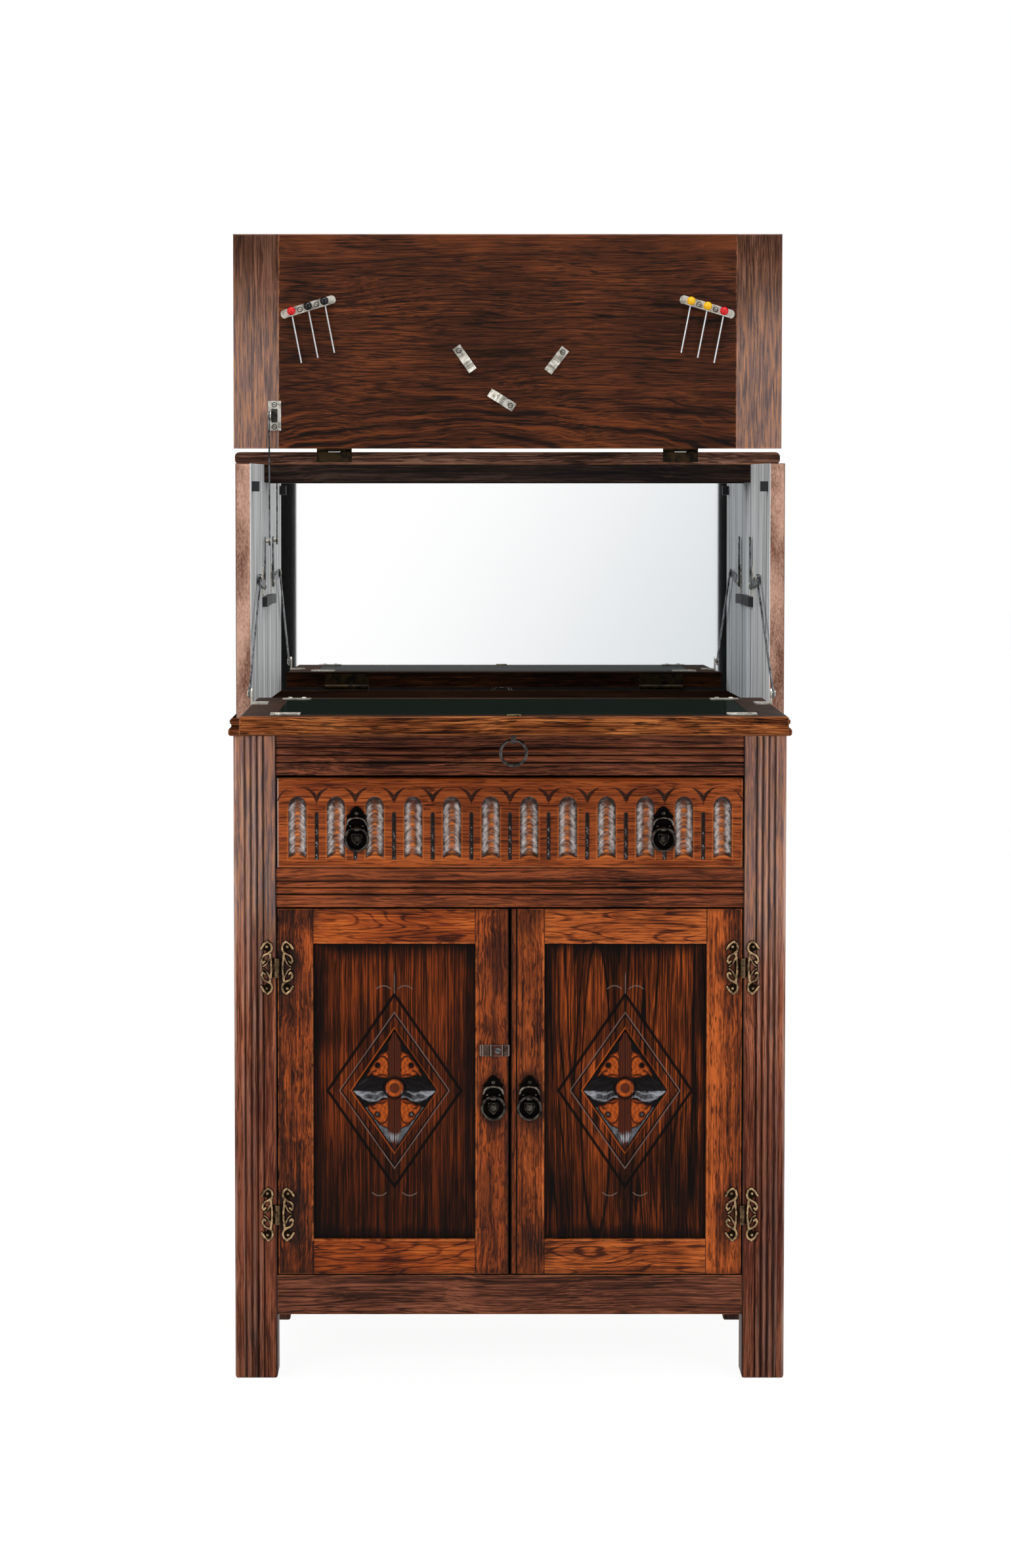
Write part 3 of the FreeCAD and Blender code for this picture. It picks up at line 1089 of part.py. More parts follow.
def make_drawer():
    add("drawer_front", make_drawer_front())
    y0, y1 = DRAWER_FRONT_THICKNESS, REAR_POST_FRONT - DRAWER_REAR_GAP
    z0, z1 = DRAWER_BOTTOM + RUNNER_GAP, DRAWER_BOTTOM + RUNNER_GAP + DRAWER_FRONT_HEIGHT - DRAWER_BOX_DROP
    inner = DRAWER_BOX_HALF - DRAWER_SIDE_THICKNESS
    side = box(inner, DRAWER_BOX_HALF, y0, y1, z0, z1)
    back = box(-inner, inner, y1 - DRAWER_SIDE_THICKNESS, y1, z0, z1)
    floor = z0 + DRAWER_BOTTOM_LIFT
    bottom = box(-inner, inner, y0, y1 - DRAWER_SIDE_THICKNESS, floor, floor + DRAWER_BOTTOM_THICKNESS)
    add("drawer_box", pair(side) + [back, bottom])


# ---- Whole cabinet

def make_all():
    make_posts()
    make_rails()
    make_case_panels()
    make_cupboard_boards()
    make_runners()
    make_waist_board()
    make_upper_sides()
    make_hinge_rail()
    make_mirror()
    make_wall_blocks()
    make_bar_hinges()
    make_lid()
    make_flap()
    make_linkage()
    make_link_brackets()
    make_racks()
    make_picks()
    make_spring_clips()
    make_doors()
    make_door_hinges()
    make_pulls()
    make_flap_pull()
    make_latch()
    make_drawer()


def export_all():
    """Write each node with the origin at the middle of the cabinet's footprint, flap open."""
    os.makedirs("parts", exist_ok=True)
    for name, solids in nodes.items():
        for solid in solids:
            if not solid.isValid():
                print("not valid:", name)
            solid.translate(V(0, -CENTRE_Y, 0))
        shape = solids[0] if len(solids) == 1 else Part.makeCompound(solids)
        shape.exportStep("parts/%s.step" % name)
    print(len(nodes), "nodes,", sum(len(s) for s in nodes.values()), "solids")


make_all()
export_all()
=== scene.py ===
import bpy
import bmesh
import math
import numpy as np
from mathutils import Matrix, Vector


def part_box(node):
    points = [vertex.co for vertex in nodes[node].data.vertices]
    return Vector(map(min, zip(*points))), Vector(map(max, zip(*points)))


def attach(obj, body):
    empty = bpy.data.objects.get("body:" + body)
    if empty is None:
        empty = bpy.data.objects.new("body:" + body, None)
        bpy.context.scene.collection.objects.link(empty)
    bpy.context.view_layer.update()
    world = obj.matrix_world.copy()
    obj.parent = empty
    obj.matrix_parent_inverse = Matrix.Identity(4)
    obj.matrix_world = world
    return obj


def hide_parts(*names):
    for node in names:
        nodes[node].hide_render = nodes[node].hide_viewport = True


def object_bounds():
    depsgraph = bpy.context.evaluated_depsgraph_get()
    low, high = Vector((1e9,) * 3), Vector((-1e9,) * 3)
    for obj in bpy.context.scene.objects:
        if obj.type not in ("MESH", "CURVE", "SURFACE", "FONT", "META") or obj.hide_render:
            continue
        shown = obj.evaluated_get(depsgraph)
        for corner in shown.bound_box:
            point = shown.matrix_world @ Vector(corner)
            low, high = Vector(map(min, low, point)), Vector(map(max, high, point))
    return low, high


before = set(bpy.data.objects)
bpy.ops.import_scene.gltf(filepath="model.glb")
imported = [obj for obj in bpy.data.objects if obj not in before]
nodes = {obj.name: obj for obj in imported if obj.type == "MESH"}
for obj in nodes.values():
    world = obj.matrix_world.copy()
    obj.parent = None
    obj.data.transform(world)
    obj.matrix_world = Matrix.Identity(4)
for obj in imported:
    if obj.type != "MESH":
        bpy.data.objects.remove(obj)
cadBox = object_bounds()
mm = 0.001
print("frame loaded,", len(nodes), "nodes")


def tone(red, green, blue):  # screen colour 0-255 to the linear colour a shader takes
    parts = []
    for part in (red, green, blue):
        part = part / 255
        parts.append(part / 12.92 if part <= 0.04045 else ((part + 0.055) / 1.055) ** 2.4)
    return tuple(parts) + (1.0,)


class Sock:  # a shader socket that joins in plain arithmetic
    def __init__(self, finish, socket):
        self.finish = finish
        self.socket = socket

    def calc(self, operation, *values):
        return self.finish.node("ShaderNodeMath", {"operation": operation}, dict(enumerate(values)))

    def __add__(self, other):
        return self.calc("ADD", self, other)

    def __sub__(self, other):
        return self.calc("SUBTRACT", self, other)

    def __mul__(self, other):
        return self.calc("MULTIPLY", self, other)

    def __truediv__(self, other):
        return self.calc("DIVIDE", self, other)

    def __radd__(self, other):
        return self.calc("ADD", other, self)

    def __rsub__(self, other):
        return self.calc("SUBTRACT", other, self)

    def __rmul__(self, other):
        return self.calc("MULTIPLY", other, self)

    def __abs__(self):
        return self.calc("ABSOLUTE", self)

    def least(self, other):
        return self.calc("MINIMUM", self, other)

    def most(self, other):
        return self.calc("MAXIMUM", self, other)


class Finish:  # one material, or the world, and its nodes
    def __init__(self, name, tree=None):
        if tree is None:
            self.material = bpy.data.materials.new(name)
            self.material.use_nodes = True
            tree = self.material.node_tree
        tree.nodes.clear()
        self.tree = tree

    def node(self, kind, settings=None, inputs=None, out=0):
        made = self.tree.nodes.new(kind)
        for key, value in (settings or {}).items():
            if key == "stops":
                ramp = made.color_ramp.elements
                while len(ramp) < len(value):
                    ramp.new(0.5)
                for stop, (place, colour) in zip(ramp, value):
                    stop.position = place
                    stop.color = colour
            else:
                setattr(made, key, value)
        for key, value in (inputs or {}).items():
            if isinstance(value, Sock):
                self.tree.links.new(value.socket, made.inputs[key])
            else:
                made.inputs[key].default_value = value
        return Sock(self, made.outputs[out]) if made.outputs else None

    def place(self):  # metres in the cabinet's own frame
        return self.node("ShaderNodeTexCoord", out="Object")

    def split(self, vector):
        made = self.node("ShaderNodeSeparateXYZ", inputs={0: vector})
        return [Sock(self, output) for output in made.socket.node.outputs]

    def shift(self, vector, by):
        return self.node("ShaderNodeVectorMath", {"operation": "ADD"}, {0: vector, 1: by})

    def reach(self, u, v):  # straight distance of two offsets
        return self.node("ShaderNodeMath", {"operation": "SQRT"}, {0: u * u + v * v})

    def noise(self, vector, stretch, detail=2.0, rough=0.5):
        scaled = self.node("ShaderNodeVectorMath", {"operation": "MULTIPLY"}, {0: vector, 1: stretch})
        return self.node("ShaderNodeTexNoise", inputs={
            "Vector": scaled, "Scale": 1.0, "Detail": detail, "Roughness": rough})

    def span(self, value, low, high):  # 0 at low, 1 at high, smooth between
        return self.node("ShaderNodeMapRange", {"interpolation_type": "SMOOTHSTEP"},
                         {"Value": value, "From Min": low, "From Max": high})

    def fade(self, value, low, high):  # 1 at low, 0 at high
        return 1 - self.span(value, low, high)

    def blend(self, factor, first, second):  # each a socket or a screen colour
        first, second = [part if isinstance(part, Sock) else tone(*part) for part in (first, second)]
        return self.node("ShaderNodeMix", {"data_type": "RGBA"}, {0: factor, 6: first, 7: second}, 2)

    def ramp(self, value, places, tones):
        stops = [(place, tone(*part)) for place, part in zip(places, tones)]
        return self.node("ShaderNodeValToRGB", {"stops": stops}, {0: value})

    def stain(self, mask, colour):  # another colour over what is there
        self.colour = self.blend(mask, self.colour, colour)

    def read(self, name):  # a value painted on the mesh
        return self.node("ShaderNodeAttribute", {"attribute_name": name}, out="Fac")

    def shade(self, bump=None, **sockets):  # bump: height, its lift in metres and its strength
        inputs = {"Base Color": self.colour}
        for key, value in sockets.items():
            inputs[key.replace("_", " ")] = value
        if bump:
            height, lift, strength = bump
            inputs["Normal"] = self.node("ShaderNodeBump", inputs={
                "Height": height, "Strength": strength, "Distance": lift})
        surface = self.node("ShaderNodeBsdfPrincipled", inputs=inputs)
        self.node("ShaderNodeOutputMaterial", inputs={"Surface": surface})
        return self.material


def mostOf(masks):  # the strongest of several masks
    mark = masks[0]
    for mask in masks[1:]:
        mark = mark.most(mask)
    return mark


def dress(material, *names):  # gives the frame's own pieces their finish
    for name in names:
        slots = nodes[name].material_slots
        for slot in slots:
            slot.material = material
        if not slots:
            nodes[name].data.materials.append(material)


# Oak

oakLook = {  # a board's own settings stand before these
    "seed": (0, 0, 0),
    "fibreSize": (9.0, 520.0),   # repeats per metre along and across the grain
    "figureSize": (1.3, 100.0), "ringSize": (3.0, 26.0), "poreSize": (34.0, 480.0),
    "driftSize": (3.0, 7.0), "rubSize": (18.0, 90.0), "blotchSize": 6.0,
    "fibreDepth": 2.2, "figureDepth": 1.2, "blotchDepth": 0.8, "drift": 0.03,
    "heart": None,               # where the arched growth rings have their middle
    "rings": 0, "ringDepth": 0.3,
    "places": (0.18, 0.5, 0.84),  # of the three tones on the ramp
    "poreDepth": 0.6, "poreTone": (22, 10, 5), "poreSpan": (0.54, 0.66),
    "wearWidth": 2.2, "wearDepth": 0.75, "wearTone": (158, 100, 66), "wearSpan": (0.36, 0.62),
    "bumpLift": 0.0004, "bumpStrength": 0.5,
    "polish": 0.12,              # specular level of the waxed faces
}
axes = {"x": 0, "y": 1, "z": 2}


def along(grain, pair):  # three values from one along and one across the grain
    stretch = [pair[1]] * 3
    stretch[axes[grain]] = pair[0]
    return tuple(stretch)


def oakGrain(f, p, grain, look):  # fibre streaks, growth figure and open pores of one board
    look = {**oakLook, **look}
    drift = (f.noise(p, along(grain, look["driftSize"]), 2, 0.5) - 0.5) * look["drift"]
    push = f.node("ShaderNodeVectorMath", {"operation": "SCALE"},
                  {0: along(grain, (0.0, 1.0)), "Scale": drift})
    q = f.shift(p, push)
    fibre = f.noise(q, along(grain, look["fibreSize"]), 4, 0.72)
    pore = f.span(f.noise(q, along(grain, look["poreSize"]), 1.5, 0.5), *look["poreSpan"])
    heart = look["heart"]
    if heart:  # arched growth rings about a heart line below or beside the board
        parts = f.split(q)
        length = parts[axes[grain]]
        rise = parts[axes[heart["across"]]] - heart["at"]
        radius = f.reach(rise, (length - heart["crown"]) * heart["slope"])
        spot = f.node("ShaderNodeCombineXYZ", inputs={0: radius * heart["perMetre"], 1: length * 1.5})
        figure = f.noise(spot, (1.0, 1.0, 1.0), 3, 0.62)
        ringed = f.noise(spot, (0.35, 0.6, 1.0), 1, 0.4)
    else:
        figure = f.noise(q, along(grain, look["figureSize"]), 4, 0.64)
        ringed = f.noise(q, along(grain, look["ringSize"]), 1.5, 0.45)
    value = 0.5 + (fibre - 0.5) * look["fibreDepth"] + (figure - 0.5) * look["figureDepth"]
    if look["rings"]:  # thin dark lines along the contours of a slow noise
        fold = f.node("ShaderNodeMath", {"operation": "PINGPONG"}, {0: ringed * look["rings"], 1: 0.5})
        value = value - f.fade(fold + (fibre - 0.5) * 0.12, 0.02, 0.16) * look["ringDepth"]
    return value, fibre, pore


def boardEdge(f, p, low, high, mirrored):  # metres from a point on a box's face to its nearest edge
    x, y, z = f.split(p)
    if mirrored:
        x = abs(x)
    a, b, c = [(top - foot) / 2 - abs(value - (foot + top) / 2)
               for value, foot, top in zip((x, y, z), low, high)]
    return a.least(b).most(a.most(b).least(c))  # the middle one of the three


def oak(name, grain, look, edge=None, extra=None):
    look = {**oakLook, **look}
    f = Finish(name)
    p = f.place()
    seeded = f.shift(p, look["seed"])
    value, f.fibre, pore = oakGrain(f, seeded, grain, look)
    blotch = f.noise(seeded, (look["blotchSize"],) * 3, 2, 0.5) - 0.5
    f.colour = f.ramp(value + blotch * look["blotchDepth"], look["places"], look["tones"])
    f.stain(pore * look["poreDepth"], look["poreTone"])
    f.height = f.fibre * 0.5 - pore * 0.5
    f.rough = 0.34 + f.fibre * 0.22 + pore * 0.15
    if edge:
        gap = boardEdge(f, p, *edge)
        rub = f.span(f.noise(seeded, along(grain, look["rubSize"]), 3, 0.6), *look["wearSpan"])
        wide = look["wearWidth"] * mm
        f.stain(f.fade(gap, wide * 0.2, wide) * rub * look["wearDepth"], look["wearTone"])
    if extra:
        extra(f, p, *f.split(p))
    return f.shade((f.height, look["bumpLift"], look["bumpStrength"]), Roughness=f.rough,
                   Specular_IOR_Level=look["polish"])


def half(name):  # inner face of a mirrored pair
    return min(abs(vertex.co.x) for vertex in nodes[name].data.vertices)


def board(name, material, grain, look, worn="", extra=None):  # worn at its own edges or a pair's
    edge = None
    if worn:
        low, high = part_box(name)
        pair = worn == "pair"
        edge = ((half(name), low.y, low.z) if pair else low, high, pair)
    dress(oak(material, grain, look, edge, extra), name)


def beside(place, offsets):  # places a little before or past a face
    return [place + offset for offset in offsets]


def lines(f, value, places, width):  # 1 on thin lines at the given places along a coordinate
    return mostOf([f.fade(abs(value - place), width * 0.25, width) for place in places])


# Posts, rails and boards of the case

caseLook = {
    "post": {"tones": ((46, 20, 11), (106, 54, 34), (170, 100, 70)), "seed": (3.1, 0.2, 0.7),
             "wearTone": (206, 156, 136), "poreDepth": 0.5},
    "frieze": {"tones": ((42, 19, 11), (120, 66, 44), (168, 98, 66)), "seed": (0.4, 5.0, 1.1),
               "figureDepth": 1.5,
               "heart": {"across": "z", "at": 1.83, "crown": 0.58, "slope": 0.16, "perMetre": 90}},
    "midRail": {"tones": ((44, 18, 8), (110, 54, 30), (170, 88, 48)), "seed": (1.7, 2.0, 4.1),
                "figureDepth": 0.8, "fibreDepth": 1.8},
    "bottomRail": {"tones": ((50, 24, 14), (106, 58, 40), (148, 88, 62)), "seed": (7.7, 2.9, 0.1),
                   "figureDepth": 1.0, "rings": 18.0,
                   "heart": {"across": "z", "at": 0.06, "crown": 7.6, "slope": 0.1, "perMetre": 80}},
    "waist": {"tones": ((40, 19, 10), (104, 56, 32), (160, 100, 66)), "seed": (2.2, 2.8, 2.1),
              "wearWidth": 3.0, "poreDepth": 0.75, "polish": 0.0},
    "rear": {"tones": ((30, 18, 14), (70, 44, 34), (98, 66, 52)), "seed": (9.2, 1.8, 5.1)},
    "sideOut": {"tones": ((40, 20, 12), (98, 52, 32), (144, 84, 54)), "seed": (4.2, 7.8, 3.1)},
    "back": {"tones": ((66, 44, 30), (104, 74, 52), (136, 102, 74)), "seed": (8.2, 3.8, 6.1),
             "polish": 0.1},
    "inside": {"tones": ((78, 52, 32), (128, 92, 60), (164, 126, 88)), "seed": (5.2, 6.8, 1.3),
               "polish": 0.1},
    # painted sheen: its two tones and the spans that share them out
    "paintedSheen": ((150, 143, 148), (226, 168, 132)), "sheenSpan": (0.42, 0.6), "thickSpan": (0.3, 0.7),
    "faceDepth": (0.004, 0.006),                  # metres behind the rails' faces that still count as front
}
postLook = {
    # valleys take painted shade; crests and the outer corner a painted highlight broken by wear; seam painted
    # shade in the gap by the door
    "valleys": (15.6, 24.2, 32.8, 41.5), "crests": (2.0, 12.5, 20.0, 28.4, 37.1),  # mm from the outer face
    "valleyWide": 2.2, "crestWide": 2.6,
    "corner": (0.003, 0.006), "seam": (0.057, 0.058),                  # metres from the outer face
    "sheenZone": (0.52, 0.70), "red": (0.34, 0.50), "redFoot": (0.06, 0.20), "foot": (0.02, 0.17),  # metres up
    "rubSize": (160.0, 160.0, 7.0), "swaySize": (30.0, 30.0, 9.0), "sway": 0.16,
    "sheenSize": (440.0, 440.0, 22.0), "sheenUp": (0.45, 0.75),
    "crestWearAndSheen": (204, 160, 140), "redTone": (60, 8, 4), "footTone": (40, 22, 16), "grooveShadeTone": (20, 9, 6),
}
railLook = {
    "mid": ((17, 26.5, 36), (21.5, 31)), "frieze": ((17, 27.5, 38), (22, 33)),     # mm from the foot
    # crestWearAndSheen: painted highlight with wear on the crests; grooveShadeTone: painted shade in the
    # valleys
    "valleyWide": 1.7, "crestWide": 2.0, "crestWearAndSheen": (170, 96, 60), "grooveShadeTone": (14, 7, 5),
    "rubSize": (5.0, 60.0, 60.0),
}
waistLook = {"skin": (-0.0008, -0.0003), "barFront": (0.012, 0.016), "stain": (14, 11, 9)}  # metres
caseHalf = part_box("front_posts")[1].x
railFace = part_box("mid_rail")[0].y


def paintedSheen(f, p, size):  # painted sheen, grey in some streaks and tan in others
    look = caseLook
    streak = f.noise(p, size, 4, 0.65)
    return f.blend(f.span(streak, *look["sheenSpan"]), *look["paintedSheen"]), f.span(streak, *look["thickSpan"])


def onFront(f, y):  # 1 on the front faces of the case
    return f.fade(y, *beside(railFace, caseLook["faceDepth"]))


def scaled(places):  # mm to metres
    return [place * mm for place in places]


def postCreases(f, p, x, y, z):  # painted shade in the valleys, painted highlight broken by wear on the crests, painted sheen higher up, down the posts
    look = postLook
    out = caseHalf - abs(x)
    front = onFront(f, y)
    dark = lines(f, out, scaled(look["valleys"]), look["valleyWide"] * mm) * front
    crest = lines(f, out, scaled(look["crests"]), look["crestWide"] * mm) * front
    outer = f.fade(out, *look["corner"]) * front
    rub = f.span(f.noise(p, look["rubSize"], 4, 0.65), 0.4, 0.6)
    # painted highlight on the outer corner and the crests, stronger higher up, broken up by a noise
    high = f.span(z + (f.fibre - 0.5) * 0.2, *look["sheenUp"])
    f.stain((outer * (0.4 + 0.3 * high) + crest * (0.36 + 0.3 * high)) * rub, look["crestWearAndSheen"])
    # painted sheen over the upper front, then a redder, darker foot
    sway = z + (f.noise(p, look["swaySize"], 3, 0.6) - 0.5) * look["sway"]
    sheenTone, thick = paintedSheen(f, p, look["sheenSize"])
    f.stain(f.span(sway, *look["sheenZone"]) * (0.26 + thick * 0.2) * front, sheenTone)
    f.stain(f.fade(sway, *look["red"]) * f.span(z, *look["redFoot"]) * 0.42 * front, look["redTone"])
    f.stain(f.fade(z, *look["foot"]) * 0.4, look["footTone"])
    # painted shade in the gap beside the door and in the valleys
    seam = f.span(out, *look["seam"]) * front
    f.stain((dark * 0.72).most(seam * 0.95), look["grooveShadeTone"])


def railCreases(name, places):
    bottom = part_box(name)[0].z

    def extra(f, p, x, y, z):
        look = railLook
        rise = z - bottom
        front = onFront(f, y)
        dark = lines(f, rise, scaled(places[0]), look["valleyWide"] * mm) * front
        crest = lines(f, rise, scaled(places[1]), look["crestWide"] * mm) * front
        rub = f.span(f.noise(p, look["rubSize"], 3, 0.6), 0.45, 0.65)
        # painted highlight on the crests, broken by wear, and painted shade in the valleys
        f.stain(crest * rub * 0.5, look["crestWearAndSheen"])
        f.stain(dark * 0.9, look["grooveShadeTone"])
    return extra


board("front_posts", "oakPost", "z", caseLook["post"], "pair", postCreases)
board("rear_posts", "oakRearPost", "z", caseLook["rear"], "pair")
board("bottom_rail", "oakBottomRail", "x", caseLook["bottomRail"], "edges")
board("mid_rail", "oakMidRail", "x", caseLook["midRail"], extra=railCreases("mid_rail", railLook["mid"]))
board("frieze_rail", "oakFrieze", "x", caseLook["frieze"],
      extra=railCreases("frieze_rail", railLook["frieze"]))
waistLow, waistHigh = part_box("waist_board")


def waistTop(f, p, x, y, z):  # painted shade: black on the top inside the bar compartment
    upper = f.span(z, *beside(waistHigh.z, waistLook["skin"]))
    f.stain(upper * f.span(y, *beside(waistLow.y, waistLook["barFront"])) * 0.92, waistLook["stain"])


board("waist_board", "oakWaist", "x", caseLook["waist"], "edges", waistTop)
board("base_side_panels", "oakSidePanel", "z", caseLook["sideOut"])
board("back_panels", "oakBack", "x", caseLook["back"], "edges")
for name in ("cupboard_boards", "drawer_runners"):
    board(name, "oakInside_" + name, "x", caseLook["inside"])
board("drawer_box", "oakDrawerBox", "y", caseLook["inside"])
print("lower case dressed")


# Upper case

upperLook = {
    "side": {"tones": ((44, 22, 14), (104, 60, 40), (150, 98, 72)), "seed": (6.1, 0.6, 3.3)},
    "silverSheen": ((84, 86, 87), (236, 239, 240), (255, 255, 255)),   # painted reflection on the inner faces
    "silverPlaces": (0.34, 0.5, 0.66),
    "edgeTones": ((98, 60, 44), (214, 170, 148)),
    "skin": (0.0003, 0.0012), "edgeDepth": (0.0005, 0.002),       # metres into the board
    "silverSize": (190.0, 190.0, 3.0), "speckSize": (620.0, 620.0, 240.0), "cloudSize": (30.0, 30.0, 9.0),
    "hingeRail": {"tones": ((38, 20, 14), (96, 62, 48), (148, 108, 88)), "seed": (4.4, 0.6, 2.2),
                  "poreDepth": 0.75},
    "apron": {"tones": ((14, 9, 7), (38, 25, 20), (70, 50, 42)), "seed": (3.4, 8.6, 2.2)},
}
wall = half("upper_sides")
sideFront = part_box("upper_sides")[0].y


def sideFaces(f, p, x, y, z):  # painted silver reflection inside, pale rubbed front edge
    look = upperLook
    inner = f.fade(abs(x), *beside(wall, look["skin"]))
    front = f.fade(y, *beside(sideFront, look["edgeDepth"]))
    silverSheen = f.ramp(f.noise(p, look["silverSize"], 4, 0.6), look["silverPlaces"], look["silverSheen"])
    speck = f.noise(p, look["speckSize"], 3, 0.65)
    cloud = f.noise(p, look["cloudSize"], 3, 0.6)
    f.stain(front, f.blend(f.span(speck * 0.5 + cloud * 0.9, 0.45, 0.95), *look["edgeTones"]))
    f.stain(inner, silverSheen)


board("upper_sides", "oakUpperSide", "z", upperLook["side"], "pair", sideFaces)
board("hinge_rail", "oakHingeRail", "x", upperLook["hingeRail"], "edges")
board("apron", "oakApron", "x", upperLook["apron"])


# Lid and flap

lidLook = {  # lengths in metres
    "planks": {"tones": ((22, 9, 4), (80, 40, 21), (146, 76, 38)), "poreDepth": 0.8, "drift": 0.035,
               "heart": {"across": "z", "at": 1.24, "crown": 0.05, "slope": 0.16, "perMetre": 60},
               "driftSize": (3.0, 9.0), "figureDepth": 0.4, "fibreDepth": 1.1, "fibreSize": (11.0, 640.0),
               "blotchDepth": 0.55, "rings": 18.0, "ringDepth": 0.2},
    "cleats": {"tones": ((46, 24, 14), (98, 60, 42), (142, 98, 77)), "seed": (1.1, 3.0, 9.0),
               "blotchDepth": 0.9, "wearTone": (176, 120, 96), "fibreSize": (10.0, 620.0)},
    "flap": {"tones": ((34, 14, 6), (116, 60, 28), (190, 116, 62)), "seed": (2.1, 7.0, 3.0),
             "poreDepth": 0.85, "wearTone": (176, 112, 66), "figureDepth": 1.0, "polish": 0.05},
    "upperPlank": 0.120, "seamHalf": (0.0004, 0.0014), "footTop": (1.345, 1.395), "rightEnd": (0.16, 0.30),
    "arch": {"high": 1.255, "aside": 0.10, "flat": 0.028, "blunt": 0.0002, "perMetre": 150.0},
    "shaded": (26, 13, 8), "bandDark": (14, 7, 5), "bandLight": (140, 70, 30), "patch": (150, 78, 38),
    "seam": (18, 9, 6), "cleatEnd": (44, 23, 14), "pocket": (18, 14, 10),
    # cleatSheen: where the painted sheen lies on the cleats, metres below their top
    "cleatTop": (-0.10, 0.0), "cleatSheen": (-0.20, -0.03), "sheenSize": (420.0, 420.0, 22.0),
    "flapTop": (-0.0075, -0.0065), "flapFront": (0.003, 0.006), "flapRear": (-0.003, -0.001),
}
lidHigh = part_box("lid_planks")[1]
seam = lidHigh.z - lidLook["upperPlank"]


def lidPlanks(f, p, x, y, z):  # seam between the planks, darker below it, arched figure at the foot
    arch = lidLook["arch"]
    drift = f.noise(p, (5.0, 5.0, 11.0), 3, 0.55)
    line = f.fade(abs(z - seam), *lidLook["seamHalf"])
    lower = f.fade(z, *beside(seam, (-0.0005, 0.0005)))
    rise, aside = z - arch["high"], x + arch["aside"]
    far = f.node("ShaderNodeMath", {"operation": "SQRT"}, {
        0: rise * rise + aside * aside * arch["flat"] + arch["blunt"]})
    spot = f.node("ShaderNodeCombineXYZ", inputs={
        0: (far + (drift - 0.5) * 0.05) * arch["perMetre"], 1: x * 3.5})
    bands = f.noise(spot, (1.0, 1.0, 1.0), 3, 0.6)
    foot = f.fade(z + (drift - 0.5) * 0.05, *lidLook["footTop"])
    shade = f.span(f.noise(p, (2.2, 2.2, 5.0), 2, 0.5), 0.4, 0.62)
    right = f.span(x, *lidLook["rightEnd"])
    f.stain(mostOf([lower * 0.30, right * 0.35, shade * 0.3]), lidLook["shaded"])
    f.stain(foot * f.span(bands, 0.51, 0.6) * 0.8, lidLook["bandDark"])
    f.stain(foot * f.fade(bands, 0.34, 0.47) * 0.5, lidLook["bandLight"])
    patch = f.span(f.noise(p, (3.2, 3.2, 7.0), 3, 0.6), 0.5, 0.66)
    f.stain(patch * 0.32 * (1 - lower), lidLook["patch"])
    f.stain(line * 0.7, lidLook["seam"])


def cleatEnds(f, p, x, y, z):  # painted grey sheen towards the hinges, darker at the upper end
    look = lidLook
    rise = z + (f.noise(p, (14.0, 14.0, 5.0), 3, 0.6) - 0.5) * 0.12
    f.stain(f.span(rise, *beside(lidHigh.z, look["cleatTop"])) * 0.45, look["cleatEnd"])
    sheenTone, thick = paintedSheen(f, p, look["sheenSize"])
    lower = f.fade(rise, *beside(lidHigh.z, look["cleatSheen"]))
    f.stain(lower * (0.2 + thick * 0.28), sheenTone)


board("lid_planks", "oakLid", "x", lidLook["planks"], "edges", lidPlanks)
board("lid_cleats", "oakCleat", "z", lidLook["cleats"], "pair", cleatEnds)
flapLow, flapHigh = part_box("flap_board")


def flapFaces(f, p, x, y, z):  # near black upper face and glass bed, warm edges
    look = lidLook
    upper = f.span(z, *beside(flapHigh.z, look["flapTop"]))
    upper = upper.least(f.span(y, *beside(flapLow.y, look["flapFront"])))
    rear = f.span(y, *beside(flapHigh.y, look["flapRear"]))
    f.stain((upper * 0.9).most(rear * 0.72), look["pocket"])


board("flap_board", "oakFlap", "x", lidLook["flap"], "edges", flapFaces)
print("upper case, lid and flap dressed")


# Drawn lines and outlines, in millimetres

def ease(value):
    value = np.clip(value, 0, 1)
    return value * value * (3 - 2 * value)


def smoothed(points):  # cuts a closed outline's corners twice
    for turn in range(2):
        soft = []
        for (ax, ay), (bx, by) in zip(points, points[1:] + points[:1]):
            for share in (0.25, 0.75):
                soft.append((ax * (1 - share) + bx * share, ay * (1 - share) + by * share))
        points = soft
    return points


def nearLine(u, v, points):  # distance to a broken line
    best = np.full(u.shape, 1e9)
    for (ax, ay), (bx, by) in zip(points[:-1], points[1:]):
        dx, dy = bx - ax, by - ay
        t = np.clip(((u - ax) * dx + (v - ay) * dy) / (dx * dx + dy * dy + 1e-9), 0, 1)
        best = np.minimum(best, np.hypot(u - ax - t * dx, v - ay - t * dy))
    return best


def insideOf(u, v, points):  # distance inside a closed outline, negative outside
    odd = np.zeros(u.shape, bool)
    for (ax, ay), (bx, by) in zip(points, points[1:] + points[:1]):
        if ay != by:
            odd ^= ((ay > v) != (by > v)) & (u < (bx - ax) * (v - ay) / (by - ay) + ax)
    gap = nearLine(u, v, points + points[:1])
    return np.where(odd, gap, -gap)


# Metals, glass, beads

